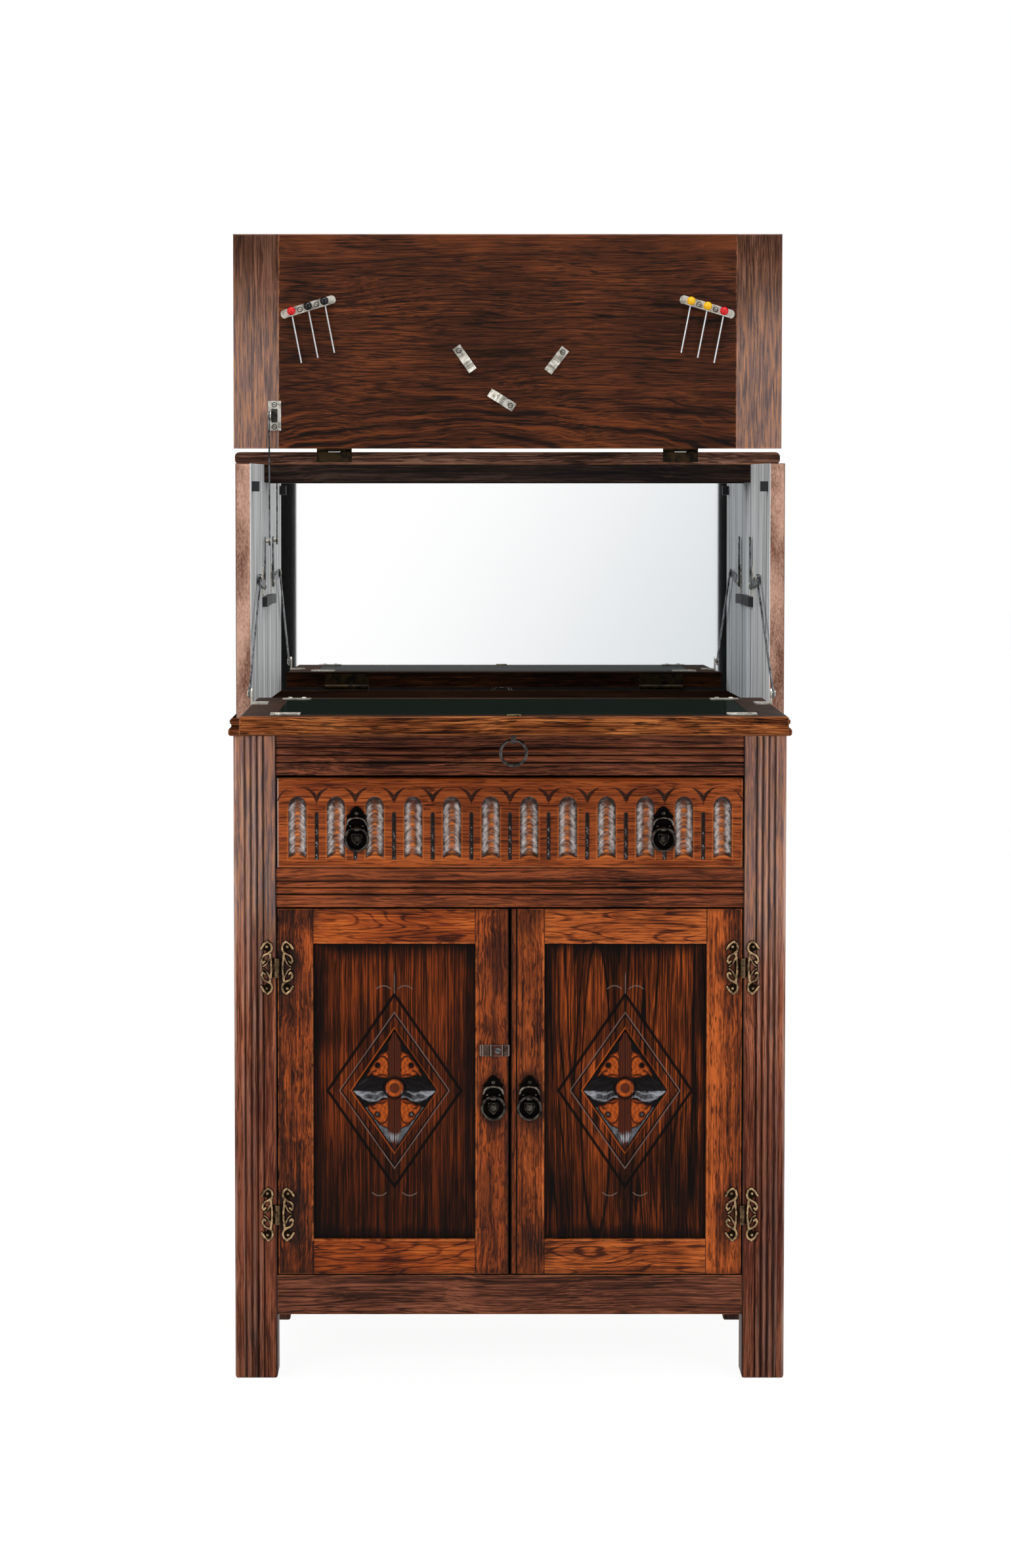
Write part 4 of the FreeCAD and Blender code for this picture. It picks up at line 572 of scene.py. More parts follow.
metalLook = {
    "nickel": {"dark": (148, 142, 130), "light": (246, 241, 230), "rough": 0.26, "scale": 110.0,
               "metallic": 0.5},
    "steel": {"dark": (34, 35, 37), "light": (134, 138, 142), "rough": 0.3, "scale": 90.0, "metallic": 0.7},
    "flapBronze": {"dark": (20, 18, 18), "light": (86, 80, 76), "rough": 0.3, "scale": 120.0,
                   "metallic": 0.7},
    "brass": {"dark": (26, 19, 11), "light": (190, 156, 118), "rough": 0.28, "scale": 150.0, "mix": 0.8,
              "crest": (1.9, 3.3)},        # crest: mm of relief over which the metal turns bright
    "oldBrass": {"dark": (22, 16, 9), "light": (66, 50, 28), "rough": 0.42, "scale": 90.0, "metallic": 0.8},
    "strikeBrass": {"dark": (22, 16, 9), "light": (190, 166, 118), "rough": 0.42, "scale": 90.0,
                    "metallic": 0.8},
    "bronze": {"dark": (13, 11, 10), "light": (136, 126, 114), "rough": 0.3, "scale": 170.0, "mix": 0.75,
               "crest": (3.6, 5.2)},
    "ringBronze": {"dark": (14, 12, 11), "light": (78, 71, 64), "rough": 0.2, "scale": 130.0,
                   "metallic": 0.85},
}
# tone: painted shade in each screw's gap and slot; well: painted shade in the bracket's opening
screwLook = {"head": 3.3, "gap": (0.3, 1.1), "slot": (0.4, 1.0), "slotEnd": (2.0, 2.8), "lean": 0.5,
             "tone": (22, 20, 18), "rivet": (3.6, 4.4), "rivetTone": (240, 230, 206), "well": (12, 11, 11)}


def screwMarks(f, x, z, screws):  # painted shade in the gap round each head and in its slot, seen on an upright face
    look = screwLook
    marks = []
    for across, high in screws:
        u, v = x / mm - across, z / mm - high
        far = f.reach(u, v)
        marks.append(f.fade(abs(far - look["head"]), *look["gap"]))
        marks.append(f.fade(abs(v + u * look["lean"]), *look["slot"]) * f.fade(far, *look["slotEnd"]))
    return mostOf(marks)


def metal(name, look, screws=(), well=None, rivets=()):  # places in mm
    f = Finish(name)
    p = f.place()
    x, y, z = f.split(p)
    patch = f.noise(p, (look["scale"],) * 3, 4, 0.6)
    fine = f.noise(p, (look["scale"] * 6,) * 3, 2, 0.5)
    value = f.span(patch, 0.34, 0.62)
    if "crest" in look:
        value = f.span(f.read("rise"), *look["crest"]) * (1 - look["mix"] + look["mix"] * value)
    f.colour = f.blend(value, look["dark"], look["light"])
    if screws:
        f.stain(screwMarks(f, x, z, screws) * 0.88, screwLook["tone"])
    for back, high in rivets:  # bright heads on the linkage's pivots
        far = f.reach(y / mm - back, z / mm - high)
        f.stain(f.fade(far, *screwLook["rivet"]), screwLook["rivetTone"])
    if well:  # painted shade: a black opening behind the rod's ear
        across, high, halfX, halfZ = well
        level, upright = abs(x / mm - across), abs(z / mm - high)
        inside = f.fade(level, halfX - 1, halfX) * f.fade(upright, halfZ - 2, halfZ)
        f.stain(inside * 0.92, screwLook["well"])
    rough = look["rough"] + (fine - 0.5) * 0.2 + (1 - value) * 0.12
    return f.shade((fine + patch, 0.0002, 0.3), Roughness=rough, Metallic=look.get("metallic", 1.0))


brass = metal("hingeBrass", metalLook["brass"])
bronze = metal("pullBronze", metalLook["bronze"])
dress(metal("nickelFittings", metalLook["nickel"]), "glass_clips", "flap_rod_brackets")
pivots = {"wall": (246.5, 1094.0), "lidEnd": (253.5, 1157.9), "flapEnd": (117.0, 1107.7)}  # y and z in mm
dress(metal("nickelPlate", metalLook["nickel"], rivets=[pivots["wall"]]), "lever_pivot_plates")
dress(metal("steelLink", metalLook["steel"], rivets=pivots.values()), "levers", "lid_rod", "flap_rods")

rackLook = {"inset": 109, "high": 1497.5, "screw": 12.5, "slope": (0.956, 0.292)}  # mm, along the rack
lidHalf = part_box("lid_cleats")[1].x / mm
rackScrews = []
level, climb = rackLook["slope"]
for side in (-1, 1):
    for way in (-rackLook["screw"], rackLook["screw"]):
        across = lidHalf - rackLook["inset"] - way * level
        rackScrews.append((side * across, rackLook["high"] + way * climb))
dress(metal("nickelRack", metalLook["nickel"], rackScrews), "pick_racks")
clipScrews = ((-71, 1434.5), (80, 1432), (4, 1355))  # x and z in mm
dress(metal("nickelClip", metalLook["nickel"], clipScrews), "spring_clips")
plateLow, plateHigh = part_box("lid_rod_bracket")
plateX, plateZ = (plateLow.x + plateHigh.x) / 2 / mm, (plateLow.z + plateHigh.z) / 2 / mm
plateScrews = [(plateX, plateZ + way) for way in (-16, 16)]
plateWell = (plateX, plateZ, 5.0, 11.0)
dress(metal("nickelBracket", metalLook["nickel"], plateScrews, plateWell), "lid_rod_bracket")

dress(metal("strikeBrass", metalLook["strikeBrass"]), "flap_strike")
dress(metal("buttBrass", metalLook["oldBrass"]),
      "lid_hinge_fixed", "lid_hinge_leaves", "flap_hinge_fixed", "flap_hinge_leaves")
dress(metal("ringBronze", metalLook["ringBronze"]),
      "door_left_pull_plate", "door_right_pull_plate", "drawer_pull_plates",
      "door_left_ring", "door_right_ring", "drawer_left_ring", "drawer_right_ring")
dress(metal("flapBronze", metalLook["flapBronze"]), "flap_pull_plate", "flap_ring")

latchLook = {
    "pivot": (-16.6, 460.0),                       # x and z in mm
    "dark": (54, 40, 36), "band": (92, 72, 64), "hump": (104, 56, 44), "edge": (160, 142, 132),
    "crease": (24, 16, 14), "humpHalf": (5.4, 6.2),
    "folds": (-24.2, -21.0, -9.8, 6.2, 15.2), "rims": (452.4, 467.6), "creases": (-11.4, -6.6, 8.0),
    "foldWide": 0.9, "rimWide": 0.5, "creaseWide": 1.3, "slotLean": 0.35, "slotHalf": (0.5, 0.9),
    "headFace": (-0.0108, -0.0106),               # metres, y of the screw's head
    "screw": (58, 57, 55), "screwLight": (136, 134, 130), "slot": (12, 14, 12),
}


def latchFinish():  # folded brass strap, coppered hump, pale worn fold lines
    look = latchLook
    f = Finish("latchStrap")
    p = f.place()
    x, y, z = f.split(p)
    u = x / mm - look["pivot"][0]
    patch = f.noise(p, (120.0, 40.0, 220.0), 3, 0.6)
    strap = f.blend(f.span(patch, 0.35, 0.65), look["dark"], look["band"])
    hump = f.blend(patch, look["hump"], look["dark"])
    f.colour = f.blend(f.span(abs(u), *look["humpHalf"]), hump, strap)
    folds = lines(f, u, look["folds"], look["foldWide"])
    folds = folds.most(lines(f, z / mm, look["rims"], look["rimWide"]) * 0.6)
    f.stain(folds * 0.8, look["edge"])
    f.stain(lines(f, u, look["creases"], look["creaseWide"]) * 0.8, look["crease"])
    return f.shade((patch, 0.0002, 0.3), Roughness=0.34 + patch * 0.15, Metallic=0.85)


def screwFinish():  # grey slotted head, with painted shade in the slot
    look = latchLook
    f = Finish("latchScrew")
    p = f.place()
    x, y, z = f.split(p)
    u, v = x / mm - look["pivot"][0], z / mm - look["pivot"][1]
    slot = f.fade(abs(v + u * look["slotLean"]), *look["slotHalf"]) * f.fade(y, *look["headFace"])
    patch = f.noise(p, (500.0,) * 3, 3, 0.6)
    f.colour = f.blend(patch, look["screw"], look["screwLight"])
    f.stain(slot * 0.9, look["slot"])
    return f.shade((patch - slot, 0.0004, 0.6), Roughness=0.35 + patch * 0.1, Metallic=0.9)


dress(latchFinish(), "turn_latch")
dress(screwFinish(), "latch_screw")

beadLook = {"red": (214, 20, 24), "black": (8, 8, 12), "yellow": (246, 188, 16), "pin": (206, 208, 211),
            "radius": 6.25, "neck": (0.0001, 0.0004),
            "order": ("red", "black", "black", "yellow", "yellow", "red")}


def bead(name, colour):  # glossy paint on the bead, bare steel from where the pin leaves it
    low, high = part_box(name)
    radius = beadLook["radius"] * mm
    middle = (low.x + radius if low.x < 0 else high.x - radius, (low.y + high.y) / 2, high.z - radius)
    f = Finish("bead_" + name)
    p = f.place()
    gap = f.node("ShaderNodeVectorMath", {"operation": "DISTANCE"}, {0: p, 1: middle}, "Value")
    pin = f.span(gap, *beside(radius, beadLook["neck"]))
    fleck = f.noise(p, (700.0,) * 3, 2, 0.5)
    f.colour = f.blend(f.span(fleck, 0.4, 0.7) * 0.12, colour, tuple(part * 0.6 for part in colour))
    f.stain(pin, beadLook["pin"])
    return f.shade((fleck, 0.0001, 0.2), Metallic=pin * 0.55, Specular_IOR_Level=0.35,
                   Roughness=0.14 + pin * 0.12 + fleck * 0.06)


for number, colour in enumerate(beadLook["order"], 1):
    name = "pick_%d" % number
    dress(bead(name, beadLook[colour]), name)

paintLook = {"dark": (14, 15, 17), "light": (44, 46, 50), "size": (260.0, 260.0, 30.0)}


def blackPaint():
    f = Finish("blackPaint")
    grain = f.noise(f.place(), paintLook["size"], 4, 0.6)
    f.colour = f.blend(grain, paintLook["dark"], paintLook["light"])
    return f.shade((grain, 0.0003, 0.4), Roughness=0.45 + grain * 0.2)


dress(blackPaint(), "flap_stop_blocks", "shelf_bearers")


def addObject(name, data):
    made = bpy.data.objects.new(name, data)
    bpy.context.scene.collection.objects.link(made)
    return made


def meshPiece(name, mesh, material, body, replaced, smooth=True):
    piece = addObject(name, mesh)
    if smooth:
        mesh.polygons.foreach_set("use_smooth", [True] * len(mesh.polygons))
    mesh.materials.append(material)
    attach(piece, body)
    if replaced:
        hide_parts(*replaced)


def paintMesh(mesh, name, values):  # a value at each corner, which a finish reads
    layer = mesh.attributes.new(name, "FLOAT", "POINT")
    layer.data.foreach_set("value", values.astype(np.float32))


# Cast fittings: flat-backed reliefs whose outline and height come from a few drawn lines

def roundOver(gap, radius):  # height of a round bar beside its middle line, as a share of its radius
    return np.sqrt(np.clip(1 - (gap / radius) ** 2, 0, 1))


def reliefForm(shape, height, low, high, step):
    us = np.arange(low[0], high[0] + step, step)
    vs = np.arange(low[1], high[1] + step, step)
    u, v = np.meshgrid(us, vs)
    inside = shape(u, v) > 0
    for turn in range(3):  # corners just outside slide onto the outline
        gap = np.minimum(shape(u, v), 0)
        du = (shape(u + 0.05, v) - shape(u - 0.05, v)) / 0.1
        dv = (shape(u, v + 0.05) - shape(u, v - 0.05)) / 0.1
        size = np.maximum(du ** 2 + dv ** 2, 0.3)
        u, v = u - gap * du / size, v - gap * dv / size
    cells = inside[:-1, :-1] | inside[1:, :-1] | inside[:-1, 1:] | inside[1:, 1:]
    corner = np.flatnonzero(np.pad(cells, ((0, 1), (0, 1))))
    wide = len(us)
    quads = np.stack([corner, corner + 1, corner + wide + 1, corner + wide], -1)
    used = np.unique(quads)
    quads = np.searchsorted(used, quads)
    u, v = u.reshape(-1)[used], v.reshape(-1)[used]
    rise = height(u, v)
    count = len(used)
    points = np.concatenate([np.stack([u, -rise, v], -1), np.stack([u, 0 * u, v], -1)])
    faces = quads.tolist() + (quads[:, ::-1] + count).tolist()
    openEdges = {}
    for quad in quads.tolist():
        for a, b in zip(quad, quad[1:] + quad[:1]):
            if (b, a) in openEdges:
                del openEdges[(b, a)]
            else:
                openEdges[(a, b)] = True
    faces += [[b, a, a + count, b + count] for a, b in openEdges]
    return points, faces, np.concatenate([rise, 0 * rise])


def turnedForm(profile, middle, rise, sides=24):  # a loop of (radius, height) about an upright axis
    angle = np.arange(sides) * 2 * math.pi / sides
    x, y, foot = middle
    rings = [np.stack([x + r * np.cos(angle), y + r * np.sin(angle), np.full(sides, foot + z)], -1)
             for r, z in profile]
    points = np.concatenate(rings)
    faces = []
    for i in range(len(profile)):
        j = (i + 1) % len(profile)
        for a in range(sides):
            b = (a + 1) % sides
            faces.append([i * sides + a, i * sides + b, j * sides + b, j * sides + a])
    return points, faces, np.full(len(points), rise)


def setForm(form, place, across=1):
    points, faces, rise = form
    points = points * (across, 1, 1) + place
    if across < 0:
        faces = [face[::-1] for face in faces]
    return points, faces, rise


def castPiece(name, forms, material, body, replaced):
    points, faces, rises, count = [], [], [], 0
    for part, sides, rise in forms:
        points.append(part)
        rises.append(rise)
        faces += [[corner + count for corner in side] for side in sides]
        count += len(part)
    mesh = bpy.data.meshes.new(name)
    mesh.from_pydata((np.concatenate(points) * mm).tolist(), [], faces)
    paintMesh(mesh, "rise", np.concatenate(rises))
    meshPiece(name, mesh, material, body, replaced)
    mesh.set_sharp_from_angle(angle=math.radians(50))


hingeLook = {
    "axis": (321.2, -9.8), "face": -5.5, "levels": (231.0, 575.0), "step": 0.7, "web": 1.1,   # mm
    "strokes": (
        (((13, 36.4), (18.3, 32.2), (22.0, 26.2)), 2.1),                        # comb and beak
        (((13, 36.4), (8.4, 33.0), (6.8, 27.5), (8.2, 22.6), (12.5, 19.6), (17.5, 17.3), (20.6, 13.4),
          (21.3, 9.3), (19.2, 6.4), (16.8, 8.8)), 2.0),                         # neck and curl
        (((9.8, 21.0), (9.0, 14.5), (7.9, 9.0), (7.4, 0.0)), 2.2),              # stem
        (((10.8, 12.5), (14.2, 5.0), (18.6, 1.6)), 1.6)),                       # leaf
    "eye": (14.2, 29.0, 2.6),
    "webs": (((13, 35.5), (18, 31), (20, 26.5), (14, 22), (9, 24), (8, 30)),
             ((5.4, 13.4), (10.5, 13.4), (10.5, -1), (5.4, -1))),
    "crown": 1.05, "eyeRise": 2.0,
    "knuckle": (4.0, 13.5), "bands": 0.45, "bandHalf": 0.6, "pin": 2.0, "pinHead": 0.4,
    "bore": {"door": 2.3, "post": 1.9}, "knuckleShine": 2.4,
    "tab": {"middle": 3.4, "half": 3.2, "rise": 0.9, "step": 0.8, "wide": 7.0, "gap": 0.4},
}


def hingeShape(u, v):
    v = np.abs(v)
    inside = np.full(u.shape, -9.0)
    for line, radius in hingeLook["strokes"]:
        inside = np.maximum(inside, radius - nearLine(u, v, list(line)))
    for outline in hingeLook["webs"]:
        inside = np.maximum(inside, insideOf(u, v, list(outline)))
    return inside


def hingeHeight(u, v):
    look = hingeLook
    v = np.abs(v)
    rise = np.full(u.shape, look["web"])
    for line, radius in look["strokes"]:
        bar = look["crown"] * radius * roundOver(nearLine(u, v, list(line)), radius)
        rise = np.maximum(rise, look["web"] + bar)
    eyeU, eyeV, radius = look["eye"]
    return np.maximum(rise, look["web"] + look["eyeRise"] * roundOver(np.hypot(u - eyeU, v - eyeV), radius))


def hingeTab(low, high, foot, head):  # plain plate that joins a knuckle to its leaf
    tab = hingeLook["tab"]

    def shape(u, v):
        level = tab["half"] - np.abs(u - tab["middle"])
        return np.minimum(level, (high - low) / 2 - np.abs(v - (low + high) / 2))

    def height(u, v):
        return np.full(u.shape, tab["rise"])
    return reliefForm(shape, height, (0.0, foot), (tab["wide"], head), tab["step"])


def knuckleForm(low, high, bore, middle):  # banded barrel with a bore for the pin
    radius, band, lip = hingeLook["knuckle"][0], hingeLook["bands"], hingeLook["bandHalf"]
    quarter = (high - low) / 4
    loop = [(bore, low), (radius - band, low), (radius, low + lip)]
    for i in (1, 2, 3):
        z = low + i * quarter
        loop += [(radius, z - lip), (radius - band, z), (radius, z + lip)]
    loop += [(radius, high - lip), (radius - band, high), (bore, high)]
    return turnedForm(loop, middle, hingeLook["knuckleShine"])


def makeHinges():
    look = hingeLook
    leaf = reliefForm(hingeShape, hingeHeight, (3.0, -40.0), (25.0, 40.0), look["step"])
    axisX, axisY = look["axis"]
    barrel = look["knuckle"][1]
    third = barrel / 3
    gap, pin, head = look["tab"]["gap"], look["pin"], look["pinHead"]
    bore = look["bore"]
    pinLoop = [(0.05, -barrel - head), (pin, -barrel - 0.2), (pin, barrel + 0.2), (0.05, barrel + head)]
    groups = {"left": [], "right": [], "posts": []}
    for level in look["levels"]:
        for side, name in ((-1, "left"), (1, "right")):
            middle = (side * axisX, axisY, level)
            seat = (side * axisX, look["face"], level)
            groups[name] += [setForm(leaf, seat, -side),
                             knuckleForm(0.2 - third, third - 0.2, bore["door"], middle),
                             setForm(hingeTab(0.6 - third, third - 0.6, -6, 6), seat, -side)]
            groups["posts"].append(setForm(leaf, seat, side))
            for low, high in ((-barrel, -third), (third, barrel)):
                groups["posts"].append(knuckleForm(low, high, bore["post"], middle))
            groups["posts"].append(turnedForm(pinLoop, middle, pin))
            for low, high in ((third + gap, barrel - 0.3), (0.3 - barrel, -third - gap)):
                groups["posts"].append(setForm(hingeTab(low, high, low - 1, high + 1), seat, side))
    for name, body, node in (("left", "door_left", "door_left_hinge_leaves"),
                             ("right", "door_right", "door_right_hinge_leaves"),
                             ("posts", "cabinet", "door_hinge_post_leaves")):
        castPiece("hingeLeaves_" + name, groups[name], brass, body, [node])


pullLook = {
    "face": -5.5, "step": 0.7, "base": 2.7,       # mm
    "hang": 17.8,                                 # from the ring's foot to the plate's middle
    "outline": ((0, 45), (3.5, 43.5), (7.5, 40), (9.5, 36.3), (10.5, 34.4), (13.5, 32.4), (14.3, 30),
                (12.3, 28.4), (14.0, 25.7), (14.8, 21.3), (14.2, 17.0), (16.0, 8.0), (16.2, 0.0),
                (15.0, -7.0), (11.5, -12.0), (6.0, -15.6), (0, -16.6)),
    "canopy": (((-13.6, 19.5), (-12, 24.5), (-7.5, 28.2), (0, 29.6), (7.5, 28.2), (12, 24.5),
                (13.6, 19.5)), 2.1),
    "canopyRise": 2.2, "rimRise": 1.1, "hammer": 0.35,
    "boss": (0.0, 35.4, 3.2), "bossRise": 2.1, "dimple": 1.2, "knobs": (8.4, 17.6, 2.1), "knobRise": 1.9,
    "heart": ((0, 7.0), (3.5, 8.6), (7.2, 7.0), (8.8, 3.0), (7.0, -2.0), (3.5, -7.0), (0, -10.5)),
    "heartRise": 0.8,
    "ridges": ((2.2, 0.9, 0.8), (1.8, 5.2, 0.9)),  # rise, distance in from the outline, width
    "lug": (5.0, 11.0, 22.0),                     # where the ring's eye stands through
}


def mirroredOutline(points):
    return [tuple(point) for point in points] + [(-x, z) for x, z in reversed(points[1:-1])]


def pullShape(u, v):
    return insideOf(u, v, mirroredOutline(pullLook["outline"]))


def pullHeight(u, v):
    look = pullLook
    base = look["base"]
    rim = look["rimRise"] * np.exp(-((pullShape(u, v) - 1.1) / 0.8) ** 2)
    rise = base + rim + look["hammer"] * np.sin(u * 1.7) * np.sin(v * 1.5) * (v > 20)
    line, radius = look["canopy"]
    rise = np.maximum(rise, base + look["canopyRise"] * roundOver(nearLine(u, v, list(line)), radius))
    x, z, radius = look["boss"]
    far = np.hypot(u - x, v - z)
    boss = look["bossRise"] * roundOver(far, radius) - look["dimple"] * np.exp(-far ** 2)
    rise = np.maximum(rise, base + boss)
    x, z, radius = look["knobs"]
    far = np.hypot(np.abs(u) - x, v - z)
    rise = np.maximum(rise, base + look["knobRise"] * roundOver(far, radius))
    heart = insideOf(u, v, mirroredOutline(look["heart"]))
    ridge = sum(tall * np.exp(-((heart - place) / wide) ** 2) for tall, place, wide in look["ridges"])
    rise = np.maximum(rise, base + look["heartRise"] * ease(heart / 2.2) + ridge)
    halfLug, foot, head = look["lug"]
    lug = (np.abs(u) < halfLug) & (v > foot) & (v < head)
    return np.where(lug, np.minimum(rise, base), rise)


def makePulls():
    look = pullLook
    plate = reliefForm(pullShape, pullHeight, (-18.0, -18.0), (18.0, 47.0), look["step"])
    for name, body in (("door_left_ring", "door_left"), ("door_right_ring", "door_right"),
                       ("drawer_left_ring", "drawer"), ("drawer_right_ring", "drawer")):
        low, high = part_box(name)
        centre = ((low.x + high.x) / 2 / mm, look["face"], low.z / mm + look["hang"])
        castPiece("escutcheon_" + name, [setForm(plate, centre)], bronze, body, [])


def boxForm(low, high):
    form = bmesh.new()
    bmesh.ops.create_cube(form, size=1.0)
    for vertex in form.verts:
        for axis in range(3):
            vertex.co[axis] = high[axis] if vertex.co[axis] > 0 else low[axis]
    return form


def meshFrom(name, form):
    mesh = bpy.data.meshes.new(name)
    form.to_mesh(mesh)
    return mesh


glassLook = {"tint": (26, 33, 29), "clear": 0.08, "bevel": 1.0, "lift": 0.2}  # reads dark on its black bed


def makeFlapGlass():  # ground-edged plate glass let into the flap
    f = Finish("plateGlass")
    wear = f.noise(f.place(), (40.0, 9.0, 40.0), 3, 0.6)
    f.colour = tone(*glassLook["tint"])
    material = f.shade(Roughness=0.01 + 0.03 * wear, Transmission_Weight=glassLook["clear"], IOR=1.5,
                       Specular_IOR_Level=0.0)
    low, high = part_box("flap_glass")
    low.z += glassLook["lift"] * mm
    form = boxForm(low, high)
    bmesh.ops.bevel(form, geom=form.edges, offset=glassLook["bevel"] * mm, segments=2, affect="EDGES")
    mesh = meshFrom("flapGlass", form)
    meshPiece("flapGlass", mesh, material, "flap", ["flap_glass"], False)


mirrorLook = {"lean": 0.7, "bevel": 0.5, "coolReflection": (214, 220, 223)}  # degrees, mm


def mirrorFinish():  # silvered glass with a painted reflection tint: a little cooler towards the lower right
    f = Finish("silveredGlass")
    x, y, z = f.split(f.place())
    f.colour = f.blend(f.span(x * 0.8 - z * 0.5, -0.75, -0.12), (255, 255, 255), mirrorLook["coolReflection"])
    return f.shade(Metallic=1.0, Roughness=0.015)


def makeMirror():  # plate that leans back a little on the panel behind it
    low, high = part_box("mirror")
    back = (high.z - low.z) * math.tan(math.radians(mirrorLook["lean"]))
    form = boxForm(low, high)
    for vertex in form.verts:
        if vertex.co.y < high.y and vertex.co.z > low.z:
            vertex.co.y += back
    front = [edge for edge in form.edges if all(vertex.co.y < high.y - 0.0001 for vertex in edge.verts)]
    bmesh.ops.bevel(form, geom=front, offset=mirrorLook["bevel"] * mm, segments=1, affect="EDGES")
    mesh = meshFrom("mirrorPlate", form)
    meshPiece("mirrorPlate", mesh, mirrorFinish(), "cabinet", ["mirror"], False)


makeHinges()
makePulls()
makeFlapGlass()
makeMirror()
print("metals, beads and glass done")


# Carved boards: a fine grid pushed in by a depth in millimetres

def carvedBoard(name, xs, zs, frontY, backY, depth, paints, material, body, node):
    wide, tall = len(xs), len(zs)
    gridX, gridZ = np.meshgrid(xs, zs)
    front = np.stack([gridX, frontY + depth * mm, gridZ], -1).reshape(-1, 3)
    ring = list(range(wide)) + [r * wide + wide - 1 for r in range(1, tall)]
    ring += [(tall - 1) * wide + c for c in range(wide - 2, -1, -1)]
    ring += [r * wide for r in range(tall - 2, 0, -1)]
    back = front[ring].copy()
    back[:, 1] = backY
    start = (np.arange(tall - 1)[:, None] * wide + np.arange(wide - 1)[None, :]).reshape(-1)
    faces = np.stack([start, start + 1, start + wide + 1, start + wide], -1).tolist()
    count, size = len(front), len(ring)
    flat = len(faces)
    for i in range(size):
        j = (i + 1) % size
        faces.append([ring[j], ring[i], count + i, count + j])
    faces.append([count + i for i in range(size - 1, -1, -1)])
    mesh = bpy.data.meshes.new(name)
    mesh.from_pydata(np.concatenate([front, back]).tolist(), [], faces)
    for key, values in paints.items():
        paintMesh(mesh, key, np.concatenate([values.reshape(-1), np.zeros(size)]))
    meshPiece(name, mesh, material, body, [node])
    mesh.polygons.foreach_set("use_smooth", [i < flat for i in range(len(faces))])


def gridLines(low, high, step, border):  # even steps, with closer lines along both borders
    inner = np.arange(low + border[-1] * mm, high - border[-1] * mm, step * mm)
    first = [low + b * mm for b in border[:-1]]
    last = [high - b * mm for b in reversed(border[:-1])]
    return np.concatenate([first, inner, [high - border[-1] * mm], last])


drawerLook = {  # mm
    "halfWide": 321.0, "high": 124.0, "step": 1.0, "edgeRound": 4.0, "border": (0.0, 0.3, 0.9, 1.8, 2.8),
    "count": 12, "margin": 1.8, "width": 25.6, "depth": 5.0, "foot": 13.0, "topMargin": 24.0,
    "lunette": 4.6,                               # rise of each flute's foot in the middle
    "chisel": 14.5, "chatter": 4.4, "sag": 0.085,     # steps of the tool marks, and how far they arch
    "reedWidth": 6.2, "reedDepth": 1.7, "reedFoot": 12.0, "reedTop": 77.6, "reedShine": 58, "reedEnd": 300,
    "archCusp": 94.0, "archCrest": 113.0, "archDepth": 1.6, "archThin": 0.5, "archSwell": 3.3,
    "swellFrom": 9, "tick": 9.0, "tickHalf": 1.5,
    "face": {"tones": ((72, 28, 10), (162, 78, 34), (214, 114, 54)), "seed": (1.0, 0.0, 2.0),
             "fibreDepth": 1.2, "figureDepth": 0.8, "poreDepth": 0.7, "poreTone": (52, 18, 7)},
    # flute: silverSheen is painted sheen on the flanks, glow painted highlights on the tool marks and edges
    "flute": {"dark": (54, 40, 36), "core": (134, 78, 50), "silverSheen": (220, 210, 206),
              "patch": (150.0, 150.0, 190.0), "streak": 0.9, "spread": (0.42, 1.08),
              "groove": (22, 15, 12), "glow": (232, 132, 62)},
    # rim: rubbed edges; end: painted highlight down the left end
    "rim": (205, 140, 96), "end": (214, 196, 182),
}


